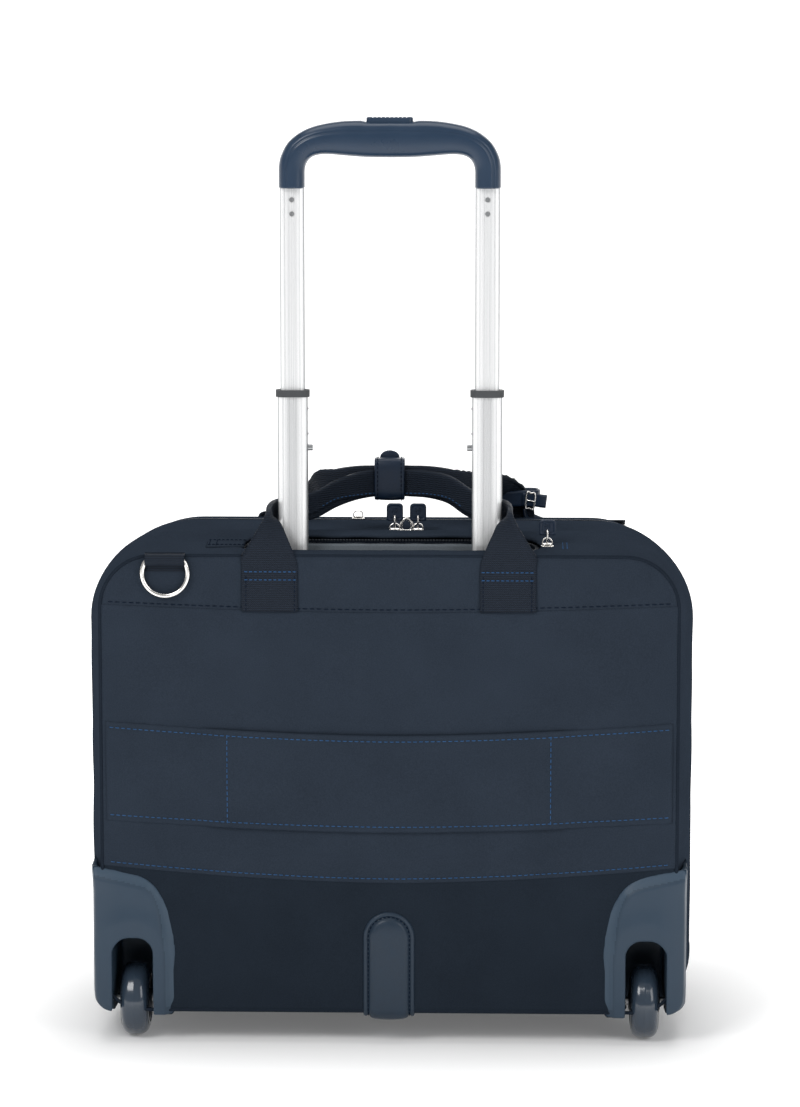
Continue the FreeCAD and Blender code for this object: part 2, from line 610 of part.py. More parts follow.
head_radius, head_proud = 1.75, 0.28
rear_of_tube = tube_y - D.upper_depth / 2
rivets = []
for index, height in enumerate((598.0, 608.0)):
    head = rod(f"rivet_head{index}", head_radius, head_proud + 0.3, (-tube_x, rear_of_tube - head_proud, height),
               Vector(0, 1, 0))
    rivets.append(head)
rivet_set = doc.addObject("Part::Compound", "rivet_set")
rivet_set.Links = rivets
pair("grip_rivets", cut("rivets_proud", rivet_set, upper_shell))


# ------------------------------------------------------------------ webbing and trim

def ribbon(name, stations, thickness):
    """Flat strap lofted through (centre, width direction, width, run direction)."""
    sections = []
    for centre, across, width, along in stations:
        across = Vector(*across).normalize()
        normal = Vector(*along).cross(across).normalize()
        a, b = across * (width / 2), normal * (thickness / 2)
        middle = Vector(*centre)
        corners = [middle - a - b, middle + a - b, middle + a + b, middle - a + b]
        sections.append(Part.makePolygon(corners + corners[:1]))
    return solid(name, Part.makeLoft(sections, True, True))


def carry_strap(name, wall, top, lean):
    """Left half of a carry handle: sewn to the wall, past the tube, then to the middle."""
    thick = D.webbing_thick
    half = thick / 2
    x = -D.strap_centre
    fold = D.webbing / 2
    foot = ribbon(f"{name}_foot", [((x, wall - lean * half, D.strap_foot), (1, 0, 0), D.webbing, (0, 0, 1)),
                                   ((x, wall - lean * half, top), (1, 0, 0), D.webbing, (0, 0, 1))], thick)
    riser = ribbon(f"{name}_riser", [
        ((x, wall - lean * half, top), (1, 0, 0), D.webbing, (0, 0, 1)),
        ((x, wall + lean * 3, top + 9), (1, 0, 0), 33, (0, lean * 0.5, 1)),
        ((x + 1, wall + lean * 8.5, top + 21), (1, 0, 0.15), 22, (0, lean * 0.6, 1)),
        ((x + 0.5, -lean * 82.5, top + 34), (-0.2, 0, -1), fold, (-0.1, lean * 1, 0.5)),
        ((x - 1.5, -lean * 62, top + 40), (0, 0, -1), fold, (0, lean * 1, 0.1)),
        ((x + 9, -lean * 44, top + 42), (0, 0, -1), fold, (1, lean * 1.2, 0)),
        ((-50, -lean * 24, top + 42), (0, 0, -1), fold, (1, lean * 0.7, 0)),
        ((-30, -lean * 10, top + 43), (0, 0, -1), fold, (1, lean * 0.4, 0)),
        ((-12, -lean * 4.4, top + 43), (0, 0, -1), fold, (1, 0, 0)),
        ((0, -lean * 4.4, top + 43), (0, 0, -1), fold, (1, 0, 0))], thick)
    return fuse(name, foot, riser)


for place, wall, top, lean in (("rear", -D.back_plane, D.back_top, 1),
                               ("front", D.front_plane, D.front_top + 0.5, -1)):
    half_strap = carry_strap(f"{place}_half", wall, top, lean)
    node(fuse(f"{place}_strap", half_strap, mirrored(f"{place}_half_right", half_strap)), f"{place}_carry_strap")

# leather wrap that holds the two handles together, and its snap
wrap_half, wrap_deep, wrap_low, wrap_high, wrap_wall = 11.2, 8.6, 384.5, 415.5, 1.6
wrap_centre, snap_radius, snap_thick = -2.4, 5.0, 1.6
wrap = cut("wrap", rounded_box("wrap_block", (wrap_centre - wrap_half, -wrap_deep, wrap_low),
                               (wrap_centre + wrap_half, wrap_deep, wrap_high), 5, "YZ_Plane"),
           rounded_box("wrap_room", (-60, -wrap_deep + wrap_wall, wrap_low + wrap_wall),
                       (60, wrap_deep - wrap_wall, wrap_high - wrap_wall), 3.4, "YZ_Plane"))
node(wrap, "handle_wrap")
snap_spot = (wrap_centre, wrap_deep, (wrap_low + wrap_high) / 2)
node(rod("snap", snap_radius, snap_thick, snap_spot, Vector(0, 1, 0)), "wrap_snap")

# name tag: a narrow leather strap round the front handle's right riser, and the tag that
# hangs from it
tag_low, tag_high, tag_thick = 368.5, 380.5, 1.6
loop_low, loop_high = (61.4, 76.0), (108.0, 94.2)
loop = cut("tag_loop", rounded_box("tag_loop_out", (*loop_low, tag_low), (*loop_high, tag_high), 6),
           rounded_box("tag_loop_in", (loop_low[0] + tag_thick, loop_low[1] + tag_thick, tag_low - 1),
                       (loop_high[0] - tag_thick, loop_high[1] - tag_thick, tag_high + 1), 4.4))
tag_arm = box("tag_arm", (loop_high[0] - 1, 84, tag_low), (124, loop_high[1], tag_low + tag_thick))
tag_plate = rounded_box("tag_plate", (110, 91.8, 292), (140, loop_high[1], tag_low + tag_thick), 4, "XZ_Plane")
node(fuse("tag", loop, tag_arm, tag_plate), "name_tag")


def carry_ring(name, turn):
    """D-shaped wire ring hanging from its straight bar, and the folded tab that holds it."""
    half, low = D.ring_half, D.ring_bar - 9.5
    bend = 3.0
    corner = [Vector(-half, 0, low), Vector(-half, 0, D.ring_bar - bend), Vector(-half + bend, 0, D.ring_bar),
              Vector(half - bend, 0, D.ring_bar), Vector(half, 0, D.ring_bar - bend), Vector(half, 0, low)]
    lean = bend * (1 - math.sqrt(0.5))
    edges = [Part.Arc(corner[1], Vector(-half + lean, 0, D.ring_bar - lean), corner[2]).toShape(),
             Part.makeLine(corner[2], corner[3]),
             Part.Arc(corner[3], Vector(half - lean, 0, D.ring_bar - lean), corner[4]).toShape(),
             Part.makeLine(corner[4], corner[5]),
             Part.Arc(corner[5], Vector(0, 0, low - half), corner[0]).toShape()]
    seam = Vector(-half, 0, (low + D.ring_bar) / 2)
    start = Part.Wire(Part.makeCircle(D.ring_wire, seam, Vector(0, 0, 1)))
    loop = Part.Wire([Part.makeLine(seam, corner[1])] + edges + [Part.makeLine(corner[0], seam)])
    return moved(solid(name, loop.makePipeShell([start], True, False)), *turn[0], rotation=turn[1])


half_turn = Rotation(Vector(0, 0, 1), 180)
ring_off = 3.3
tab_half = 12.4
for place, wall, turn in (("rear", -D.back_plane, Rotation()), ("front", D.front_plane, half_turn)):
    sign = -1 if place == "rear" else 1
    spot = (sign * D.ring_x, wall + sign * ring_off, 0)
    node(carry_ring(f"{place}_ring_wire", (spot, turn)), f"ring_{place}")
    loop_round, loop_bore = 3.7, D.ring_wire + 0.4
    face = [(-ring_off, D.ring_bar - loop_round, 0), (loop_round, D.ring_bar - loop_round, loop_round - 0.05),
            (loop_round, D.ring_bar + loop_round, loop_round - 0.05), (-ring_off, 361, 0)]
    loop_body = prism(f"{place}_tab_loop", "YZ_Plane", [(-a, b, c) for a, b, c in face],
                      2 * tab_half, -tab_half)
    bore = rod(f"{place}_tab_bore", loop_bore, 60, (-30, 0, D.ring_bar), Vector(1, 0, 0))
    tab = cut(f"{place}_tab", loop_body, bore)
    holder = doc.addObject("Part::Compound", f"{place}_tab_set")
    holder.Links = [tab]
    moved(holder, *spot, rotation=turn)
    node(cut(f"{place}_tab_clear", holder, outer_form), f"ring_tab_{place}")


# --------------------------------------------------------------------- zip sliders

eye_height, eye_wire = 3.9, 0.8


def slider(name, x, y, deck):
    """Slider body with a bridge; deck is the height of the chain it runs on."""
    body = rounded_box(f"{name}_body", (x - 4.6, y - 4.0, deck), (x + 4.6, y + 4.0, deck + 2.6), 1.6)
    arch = rounded_box(f"{name}_arch", (x - 3.4, y - 1.2, deck + 1), (x + 3.4, y + 1.2, deck + 6.4), 1.5,
                       "XZ_Plane")
    eye = rounded_box(f"{name}_eye", (x - 2.2, y - 3, deck + 2.6), (x + 2.2, y + 3, deck + 5.2), 1.1,
                      "XZ_Plane")
    return fuse(name, body, cut(f"{name}_bridge", arch, eye))


def pull(name, x, y, deck, length=21.5):
    """Leather pull on a wire loop, standing up; the loop's low bar is the hinge pin that
    passes under the slider's bridge."""
    half, inner = 3.2, 1.9
    pin = rod(f"{name}_pin", eye_wire, 2 * half, (x, y - half, deck + eye_height), Vector(0, 1, 0))
    legs = [box(f"{name}_leg{index}", (x - eye_wire, y + start, deck + eye_height),
                (x + eye_wire, y + start + half - inner, deck + 12)) for index, start in enumerate((-half, inner))]
    tab = rounded_box(f"{name}_tab", (x - 5.8, y - 1.3, deck + 10.4), (x + 5.8, y + 1.3, deck + length), 2.4,
                      "XZ_Plane")
    cross = box(f"{name}_cross", (x - eye_wire, y - half, deck + 10.4), (x + eye_wire, y + half, deck + 12))
    return fuse(name, pin, *legs, cross, tab)


chain_gap = 0.5
main_deck = case_height(-D.main_zip) + chain_gap
lid_deck = case_height(D.lid_zip) + chain_gap
node(slider("main_left", 2.0, -D.main_zip, main_deck), "main_slider_left")
node(slider("main_right", 19.0, -D.main_zip, main_deck), "main_slider_right")
node(pull("pull_left", 2.0, -D.main_zip, main_deck), "main_pull_left")
node(pull("pull_right", 19.0, -D.main_zip, main_deck), "main_pull_right")
handle_slider_x = D.slot_length / 2 + 5.0
handle_deck = case_height(tube_y) + chain_gap
node(slider("handle_slide", handle_slider_x, tube_y, handle_deck), "handle_slider")
node(pull("handle_tab", handle_slider_x, tube_y, handle_deck, 20.0), "handle_pull")
node(slider("lid_slide", -28.0, D.lid_zip, lid_deck), "lid_slider")
print(f"decks: main {main_deck:.2f}, handle {handle_deck:.2f}, lid {lid_deck:.2f}")


# ------------------------------------------------------------------------- hand-in

doc.recompute()
faults = [piece.Name for piece in doc.Objects if {"Invalid", "Error"} & set(piece.State)]
faults += [piece.Label for piece in nodes if piece.Shape.isNull() or not piece.Shape.isValid()]
if faults:
    raise RuntimeError(f"pieces that failed to build: {faults}")
os.makedirs("parts", exist_ok=True)
for piece in nodes:
    piece.Shape.exportStep(os.path.join("parts", f"{piece.Label}.step"))
total = Part.makeCompound([piece.Shape for piece in nodes]).BoundBox
print(f"{len(nodes)} pieces, x {total.XMin:.2f} to {total.XMax:.2f}, y {total.YMin:.2f} to {total.YMax:.2f}, "
      f"z {total.ZMin:.2f} to {total.ZMax:.2f}")
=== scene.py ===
import math

import bmesh
import bpy
import numpy as np
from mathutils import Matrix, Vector


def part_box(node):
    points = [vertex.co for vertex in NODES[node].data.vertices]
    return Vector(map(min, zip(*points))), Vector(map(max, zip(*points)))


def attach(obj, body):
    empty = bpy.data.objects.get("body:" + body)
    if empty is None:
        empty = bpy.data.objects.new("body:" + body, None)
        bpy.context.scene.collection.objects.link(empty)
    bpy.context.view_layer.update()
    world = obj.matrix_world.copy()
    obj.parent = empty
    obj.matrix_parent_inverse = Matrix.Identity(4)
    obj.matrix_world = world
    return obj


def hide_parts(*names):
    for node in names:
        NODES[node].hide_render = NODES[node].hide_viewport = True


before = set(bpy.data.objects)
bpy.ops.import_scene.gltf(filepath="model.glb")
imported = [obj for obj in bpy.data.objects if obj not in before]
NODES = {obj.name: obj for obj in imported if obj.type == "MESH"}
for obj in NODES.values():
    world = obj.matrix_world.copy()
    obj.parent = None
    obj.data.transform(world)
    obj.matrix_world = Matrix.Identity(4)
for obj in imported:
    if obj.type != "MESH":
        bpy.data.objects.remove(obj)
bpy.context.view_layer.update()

# Rolling laptop case: the visible model. Shapes are worked out in millimetres in the
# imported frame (+X right seen from the back, -Y back, +Z up) and scaled to metres when a
# mesh is made.

MM = 0.001
X_AXIS, Y_AXIS, Z_AXIS = np.eye(3)


# ------------------------------------------------------------------------ materials

def node_tree(name, color, rough, metal=0.0, sheen=0.0, coat=0.0, gloss=0.5):
    """New Principled material and small helpers to wire nodes into it."""
    made = bpy.data.materials.new(name)
    made.use_nodes = True
    tree = made.node_tree
    shader = tree.nodes["Principled BSDF"]
    shader.inputs["Base Color"].default_value = (*color, 1)
    shader.inputs["Roughness"].default_value = rough
    shader.inputs["Metallic"].default_value = metal
    shader.inputs["Specular IOR Level"].default_value = gloss
    shader.inputs["Sheen Weight"].default_value = sheen
    shader.inputs["Sheen Roughness"].default_value = 0.45
    shader.inputs["Coat Weight"].default_value = coat
    shader.inputs["Coat Roughness"].default_value = 0.12
    return made, tree, shader


def placed(tree, scale=(1, 1, 1), turn=(0, 0, 0)):
    """The row frame's coordinates, turned and scaled."""
    where = tree.nodes.new("ShaderNodeTexCoord")
    mapping = tree.nodes.new("ShaderNodeMapping")
    mapping.inputs["Scale"].default_value = scale
    mapping.inputs["Rotation"].default_value = turn
    tree.links.new(where.outputs["Object"], mapping.inputs["Vector"])
    return mapping.outputs["Vector"]


def noise(tree, vector, scale, detail=3.0, rough=0.55):
    made = tree.nodes.new("ShaderNodeTexNoise")
    made.inputs["Scale"].default_value = scale
    made.inputs["Detail"].default_value = detail
    made.inputs["Roughness"].default_value = rough
    tree.links.new(vector, made.inputs["Vector"])
    return made.outputs["Fac"]


def bands(tree, vector, scale, direction="DIAGONAL"):
    made = tree.nodes.new("ShaderNodeTexWave")
    made.bands_direction = direction
    made.inputs["Scale"].default_value = scale
    made.inputs["Distortion"].default_value = 0.6
    made.inputs["Detail"].default_value = 1.0
    tree.links.new(vector, made.inputs["Vector"])
    return made.outputs["Fac"]


def remap(tree, value, low, high, start=0.0, stop=1.0):
    made = tree.nodes.new("ShaderNodeMapRange")
    for index, number in zip((1, 2, 3, 4), (start, stop, low, high)):
        made.inputs[index].default_value = number
    tree.links.new(value, made.inputs[0])
    return made.outputs[0]


def combine(tree, one, other, operation="ADD"):
    made = tree.nodes.new("ShaderNodeMath")
    made.operation = operation
    for socket, value in zip(made.inputs, (one, other)):
        if isinstance(value, float):
            socket.default_value = value
        else:
            tree.links.new(value, socket)
    return made.outputs[0]


def tint(tree, shader, value, dark, light):
    """Base colour that runs from dark to light with a value."""
    ramp = tree.nodes.new("ShaderNodeMix")
    ramp.data_type = "RGBA"
    ramp.inputs[6].default_value = (*dark, 1)
    ramp.inputs[7].default_value = (*light, 1)
    tree.links.new(value, ramp.inputs[0])
    tree.links.new(ramp.outputs[2], shader.inputs["Base Color"])


def bump(tree, shader, height, depth_mm, strength=1.0):
    made = tree.nodes.new("ShaderNodeBump")
    made.inputs["Distance"].default_value = depth_mm * MM
    made.inputs["Strength"].default_value = strength
    tree.links.new(height, made.inputs["Height"])
    tree.links.new(made.outputs["Normal"], shader.inputs["Normal"])


def scaled(color, factor):
    return tuple(min(1.0, part * factor) for part in color)


def cloth(name, color, rough=0.55, twill=95.0, weave=0.05, sheen=0.25, mottle=0.10, gloss=0.0):
    """Woven cloth: a diagonal twill line crossed by threads, with uneven dye and sheen."""
    made, tree, shader = node_tree(name, color, rough, sheen=sheen, gloss=gloss)
    spot = placed(tree)
    line = bands(tree, spot, twill)
    threads = noise(tree, placed(tree, (900, 900, 2600)), 1.0, 2.0)
    cross = noise(tree, placed(tree, (2600, 2600, 700)), 1.0, 2.0)
    cloudy = noise(tree, spot, 26.0, 4.0)
    speckle = noise(tree, spot, 1100.0, 2.0, 0.7)
    weave_value = combine(tree, combine(tree, line, combine(tree, threads, cross), "ADD"), 0.4, "MULTIPLY")
    shade = combine(tree, remap(tree, weave_value, 0.0, 0.6), remap(tree, cloudy, 0.0, 0.35, 0.3, 0.7))
    shade = combine(tree, shade, remap(tree, speckle, -0.35, 0.35, 0.3, 0.7))
    tint(tree, shader, shade, scaled(color, 1 - mottle * 1.6), scaled(color, 1 + mottle * 2.2))
    tree.links.new(remap(tree, cloudy, rough - 0.06, rough + 0.08, 0.3, 0.7), shader.inputs["Roughness"])
    bump(tree, shader, weave_value, weave)
    return made


def webbing(name, color):
    """Heavy ribbed strap: crossing diagonal threads over ribs that run across it."""
    made, tree, shader = node_tree(name, color, 0.6, gloss=0.12)
    spot = placed(tree)
    ribs = bands(tree, spot, 200.0, "Z")
    one = bands(tree, spot, 430.0)
    other = bands(tree, placed(tree, (-1, 1, 1)), 430.0)
    threads = combine(tree, one, other, "MULTIPLY")
    weave_value = combine(tree, combine(tree, ribs, 0.55, "MULTIPLY"),
                          combine(tree, threads, 0.7, "MULTIPLY"))
    fuzz = noise(tree, spot, 900.0, 3.0)
    shade = combine(tree, weave_value, combine(tree, fuzz, 0.5, "MULTIPLY"))
    tint(tree, shader, remap(tree, shade, 0.0, 1.0, 0.2, 1.3), scaled(color, 0.55), scaled(color, 1.6))
    bump(tree, shader, shade, 0.3)
    return made


def leather(name, color, rough=0.42):
    """Coated leather: a fine pebble grain with soft creases."""
    made, tree, shader = node_tree(name, color, rough, coat=0.08, gloss=0.28)
    spot = placed(tree)
    cells = tree.nodes.new("ShaderNodeTexVoronoi")
    cells.inputs["Scale"].default_value = 1500.0
    tree.links.new(spot, cells.inputs["Vector"])
    soft = noise(tree, spot, 160.0, 4.0)
    grain = combine(tree, remap(tree, cells.outputs["Distance"], 0.0, 0.5), soft)
    tint(tree, shader, remap(tree, grain, 0.0, 1.0, 0.2, 1.2), scaled(color, 0.85), scaled(color, 1.2))
    tree.links.new(remap(tree, soft, rough - 0.05, rough + 0.1, 0.3, 0.7), shader.inputs["Roughness"])
    bump(tree, shader, grain, 0.05)
    return made


def moulded(name, color, rough=0.45, grain=0.02, coat=0.0, scale=2400.0):
    """Moulded plastic: fine spark-eroded grain and slightly uneven gloss."""
    made, tree, shader = node_tree(name, color, rough, coat=coat, gloss=0.3)
    spot = placed(tree)
    fine = noise(tree, spot, scale, 2.0)
    worn = noise(tree, spot, 38.0, 5.0)
    tint(tree, shader, worn, scaled(color, 0.93), scaled(color, 1.08))
    tree.links.new(remap(tree, worn, rough - 0.05, rough + 0.07, 0.3, 0.7), shader.inputs["Roughness"])
    bump(tree, shader, fine, grain)
    return made


def metal(name, color, rough=0.2, brushed=0.0):
    """Metal, polished or with fine lengthwise draw lines."""
    made, tree, shader = node_tree(name, color, rough, metal=1.0)
    lines = noise(tree, placed(tree, (5200, 5200, 14)), 1.0, 2.0)
    smudge = noise(tree, placed(tree), 60.0, 4.0)
    spread = 0.07 if brushed else 0.03
    mixed = combine(tree, combine(tree, lines, 0.5, "MULTIPLY"), combine(tree, smudge, 0.5, "MULTIPLY"))
    tree.links.new(remap(tree, mixed, rough - spread, rough + spread, 0.3, 0.7), shader.inputs["Roughness"])
    tint(tree, shader, mixed, scaled(color, 0.94), scaled(color, 1.04))
    if brushed:
        bump(tree, shader, lines, brushed)
    return made


def axes(tree):
    """The object's X, Y and Z as separate values."""
    split = tree.nodes.new("ShaderNodeSeparateXYZ")
    tree.links.new(placed(tree), split.inputs[0])
    return split.outputs


def size_of(tree, value):
    return combine(tree, value, 0.0, "ABSOLUTE")


def extrusion(name, node, painted_middle_band_shade):
    """Drawn aluminium profile with fine draw lines; its colour holds painted reflection: a darker band down
    the middle face, darker outer edges and a thin dark line between them.
    """
    made, tree, shader = node_tree(name, (0.9, 0.9, 0.9), 0.27, metal=0.35)
    reach = np.abs([v.co.x for v in NODES[node].data.vertices])
    middle, half = (reach.min() + reach.max()) / 2, (reach.max() - reach.min()) / 2
    across = combine(tree, size_of(tree, axes(tree)["X"]), float(middle), "SUBTRACT")
    from_middle = size_of(tree, across)
    # painted reflection bands in the base colour: a darker middle band, darker outer edges, and a thin
    # painted shade line where the middle band ends
    painted_middle_band_end = half * 0.62
    painted_middle_band = remap(tree, from_middle, 1.0, 0.0, half * 0.25, painted_middle_band_end)
    edge = remap(tree, from_middle, 0.0, 1.0, half * 0.88, half * 0.95)
    from_line = size_of(tree, combine(tree, from_middle, painted_middle_band_end, "SUBTRACT"))
    inner = combine(tree, from_line, half * 0.05, "LESS_THAN")
    lines = noise(tree, placed(tree, (5200, 5200, 3)), 1.0, 2.0)
    bands = combine(tree, combine(tree, painted_middle_band, painted_middle_band_shade, "MULTIPLY"),
                    combine(tree, edge, 0.85, "MULTIPLY"))
    shade = combine(tree, bands, combine(tree, inner, 0.2, "MULTIPLY"))
    tint(tree, shader, combine(tree, shade, combine(tree, lines, 0.04, "MULTIPLY")), (0.90, 0.905, 0.91),
         (0.16, 0.17, 0.18))
    tree.links.new(remap(tree, lines, 0.24, 0.32, 0.3, 0.7), shader.inputs["Roughness"])
    bump(tree, shader, lines, 0.003)
    return made


NAVY = (0.0215, 0.0290, 0.0415)
PALETTE = {
    "shell": cloth("shell_cloth", NAVY, 0.55, 1300.0, 0.05, 0.0),
    "abrasion": cloth("abrasion_cloth", (0.0135, 0.0188, 0.0270), 0.55, 1500.0, 0.03, 0.0),
    "tape": cloth("zip_tape", (0.006, 0.008, 0.012), 0.7, 1200.0, 0.05, 0.0),
    "piping": cloth("piping_cloth", (0.0130, 0.0180, 0.0265), 0.5, 1600.0, 0.04, 0.0),
    "webbing": webbing("webbing_cloth", (0.0098, 0.0145, 0.0235)),
    "lining": cloth("lining_cloth", (0.115, 0.132, 0.148), 0.5, 1500.0, 0.04, 0.2),
    "leather": leather("navy_leather", (0.0055, 0.0150, 0.0340)),
    "pad": leather("pad_leather", (0.0105, 0.0225, 0.0395), 0.42),
    "guard": moulded("guard_plastic", (0.023, 0.042, 0.067), 0.46, 0.03),
    # lighter copy of the guard plastic: a painted highlight for the guards' chamfered rim
    "guard_painted_highlight_rim": moulded("guard_painted_highlight_rim_plastic", (0.036, 0.061, 0.092), 0.46, 0.03),
    "grip": moulded("grip_plastic", (0.015, 0.033, 0.064), 0.30, 0.010, 0.15),
    "dark": moulded("dark_plastic", (0.035, 0.038, 0.043), 0.5, 0.02),
    "tyre": moulded("tyre_urethane", (0.026, 0.040, 0.060), 0.16, 0.004, 0.6, 900.0),
    "hub": moulded("hub_plastic", (0.012, 0.016, 0.024), 0.35, 0.01),
    "thread": cloth("blue_thread", (0.028, 0.080, 0.185), 0.5, 2600.0, 0.02, 0.05),
    "quiet_thread": cloth("navy_thread", (0.005, 0.010, 0.022), 0.5, 2600.0, 0.02, 0.05),
    "teeth": moulded("zip_teeth", (0.016, 0.020, 0.026), 0.5, 0.004),
    # the last number sets how dark each tube's painted reflection band down the middle is
    "upper": extrusion("upper_aluminium_painted_reflection", "upper_tubes", 0.20),
    "middle": extrusion("middle_aluminium_painted_reflection", "middle_tubes", 0.42),
    "fixed": extrusion("fixed_aluminium_painted_reflection", "fixed_tubes", 0.46),
    "steel": metal("plain_steel", (0.36, 0.37, 0.38), 0.3, 0.004),
    "nickel": metal("polished_nickel", (0.86, 0.84, 0.81), 0.2),
}

CAD_FINISH = {
    "upper": ["upper_tubes"],
    "middle": ["middle_tubes"],
    "fixed": ["fixed_tubes"],
    "steel": ["wheel_axles", "bracket_screws", "grip_rivets", "guide_rivets", "lock_pin_left",
              "lock_pin_right",
              "detent_pin_left", "detent_pin_right", "button_spring"],
    "nickel": ["wrap_snap"],
    "grip": ["release_button"],
    "hub": ["hub_left", "hub_right"],
    "dark": ["fixed_collars", "tube_top_bracket", "tube_base_bracket", "front_feet", "upper_plugs",
             "middle_plugs", "base_board"],
}


# ------------------------------------------------------------------------ mesh helpers

def mesh_object(name, verts, faces):
    mesh = bpy.data.meshes.new(name)
    mesh.from_pydata((np.asarray(verts, float) * MM).tolist(), [], [tuple(map(int, f)) for f in faces])
    mesh.polygons.foreach_set("use_smooth", [True] * len(mesh.polygons))
    mesh.update()
    made = bpy.data.objects.new(name, mesh)
    bpy.context.scene.collection.objects.link(made)
    return made


def finish_piece(piece, look, body="case", replaces=()):
    """Gives a piece its material, its body and the CAD nodes that it stands for."""
    piece.data.materials.clear()
    piece.data.materials.append(PALETTE[look])
    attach(piece, body)
    if replaces:
        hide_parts(*replaces)
    return piece


def grid_faces(rows, cols, wrap=False, start=0, keep=None):
    """Quads over a grid of vertices, row by row; wrap joins the last column to the first."""
    spans = cols if wrap else cols - 1
    return [(start + r * cols + c, start + r * cols + (c + 1) % cols,
             start + (r + 1) * cols + (c + 1) % cols, start + (r + 1) * cols + c)
            for r in range(rows - 1) for c in range(spans) if keep is None or keep(r, c)]


def tube_faces(rows, cols, ends="capped"):
    """Faces of a tube of rings, whose ends are capped, joined to each other or left open."""
    faces = grid_faces(rows, cols, True)
    last = (rows - 1) * cols
    if ends == "joined":
        faces += [(last + c, last + (c + 1) % cols, (c + 1) % cols, c) for c in range(cols)]
    elif ends == "capped":
        faces += [tuple(range(cols))[::-1], tuple(last + c for c in range(cols))]
    return faces


def grid_object(name, points, wrap=False, keep=None):
    points = np.asarray(points, float)
    rows, cols = points.shape[:2]
    return mesh_object(name, points.reshape(-1, 3), grid_faces(rows, cols, wrap, 0, keep))


def thicken(piece, depth, offset=-1.0):
    """Gives a sheet its thickness, on the inner side."""
    solid = piece.modifiers.new("thickness", "SOLIDIFY")
    solid.thickness = depth * MM
    solid.offset = offset
    solid.use_even_offset = False
    return piece


def between(a, b, c, d, f):
    """Catmull-Rom step from b to c at the fraction f; a and d are the neighbours."""
    return 0.5 * (2 * b + (c - a) * f + (2 * a - 5 * b + 4 * c - d) * f ** 2
                  + (3 * b - a - 3 * c + d) * f ** 3)


def spline(points, count, closed=False):
    """Evenly parametrised Catmull-Rom curve through points, of any dimension."""
    p = np.asarray(points, float)
    n = len(p)
    spans = n if closed else n - 1
    t = np.linspace(0, spans, count, endpoint=not closed)
    i = np.minimum(t.astype(int), spans - 1)
    f = (t - i)[:, None]
    take = (lambda k: p[k % n]) if closed else (lambda k: p[np.clip(k, 0, n - 1)])
    a, b, c, d = take(i - 1), take(i), take(i + 1), take(i + 2)
    return between(a, b, c, d, f)


def resampled(path, step, closed=False):
    """Points a step apart along a polyline."""
    p = np.asarray(path, float)
    if closed:
        p = np.vstack([p, p[:1]])
    reach = np.concatenate([[0], np.cumsum(np.linalg.norm(np.diff(p, axis=0), axis=1))])
    count = max(2, int(round(reach[-1] / step)) + 1)
    at = np.linspace(0, reach[-1], count)
    if closed:
        at = at[:-1]
    return np.stack([np.interp(at, reach, p[:, k]) for k in range(p.shape[1])], axis=1)


def unit(v):
    v = np.asarray(v, float)
    return v / np.maximum(np.linalg.norm(v, axis=-1, keepdims=True), 1e-12)


def directions(path, closed=False):
    if closed:
        return unit(np.roll(path, -1, axis=0) - np.roll(path, 1, axis=0))
    return unit(np.gradient(path, axis=0))


def sweep(path, section, across, closed=False, sizes=None):
    """Verts and faces of a section (u, v) swept along a path; across is the u direction."""
    path = np.asarray(path, float)
    along = directions(path, closed)
    across = np.broadcast_to(np.asarray(across, float), path.shape)
    u = unit(across - along * np.sum(across * along, axis=1, keepdims=True))
    v = np.cross(along, u)
    section = np.asarray(section, float)
    scale = np.ones((len(path), 1)) if sizes is None else np.asarray(sizes, float).reshape(-1, 1)
    rings = [path + scale * (u * a + v * b) for a, b in section]
    points = np.stack(rings, axis=1)
    rows, cols = points.shape[:2]
    return points.reshape(-1, 3), tube_faces(rows, cols, "joined" if closed else "capped")


def round_section(radius, sides=8):
    return [(radius * math.cos(a), radius * math.sin(a)) for a in np.arange(sides) * 2 * math.pi / sides]


def flat_section(width, thick, columns=10, edge=1.0):
    """Flat strap section with rounded selvages that are a little thicker."""
    us = np.linspace(-1, 1, columns)
    side = [(u * width / 2, -thick / 2 * (1.0 + 0.35 * edge * (abs(u) > 0.86))) for u in us]
    ends = [(width / 2 + thick * 0.35, 0)]
    back = [(u * width / 2, thick / 2 * (1.0 + 0.35 * edge * (abs(u) > 0.86))) for u in us[::-1]]
    return side + ends + back + [(-width / 2 - thick * 0.35, 0)]


class Batch:
    """Collects many small solids into one mesh."""

    def __init__(self):
        self.verts, self.faces = [], []

    def add(self, verts, faces):
        start = len(self.verts)
        self.verts.extend(np.asarray(verts, float).tolist())
        self.faces.extend(tuple(start + i for i in face) for face in faces)

    def build(self, name, look, body="case", slot=None, replaces=()):
        return finish_piece(mesh_object(name, self.verts, self.faces), look, body, replaces)


def stitch_row(batch, path, normals, pitch=4.2, length=3.1, radius=0.34, closed=False, slant=0.0):
    """Row of thread stitches that dip into the cloth at both ends."""
    both = resampled(np.hstack([path, normals]), pitch, closed)
    points, outs = both[:, :3], unit(both[:, 3:])
    along = directions(points, closed)
    reach = np.array([-0.5, -0.36, 0.0, 0.36, 0.5])
    lift = np.array([-0.9, 0.35, 0.8, 0.35, -0.9])
    width = np.array([0.35, 0.9, 1.0, 0.9, 0.35])
    for point, out, way in zip(points, outs, along):
        side = np.cross(way, out)
        run = unit(way + slant * side)
        spine = point + np.outer(reach * length, run) + np.outer(lift * radius, out)
        batch.add(*sweep(spine, round_section(radius, 6), side, sizes=width))


def smooth_noise(x, y, seed=0.0):
    """Smooth repeatable unevenness between -1 and 1."""
    return (np.sin(x * 1.7 + 1.3 * np.sin(y * 1.1 + seed) + seed * 2.1)
            * np.cos(y * 1.9 + 1.1 * np.sin(x * 0.9 - seed)) * 0.6
            + 0.4 * np.sin(x * 3.1 - y * 2.3 + seed * 3.7))


# ------------------------------------------------------------------ camera and studio

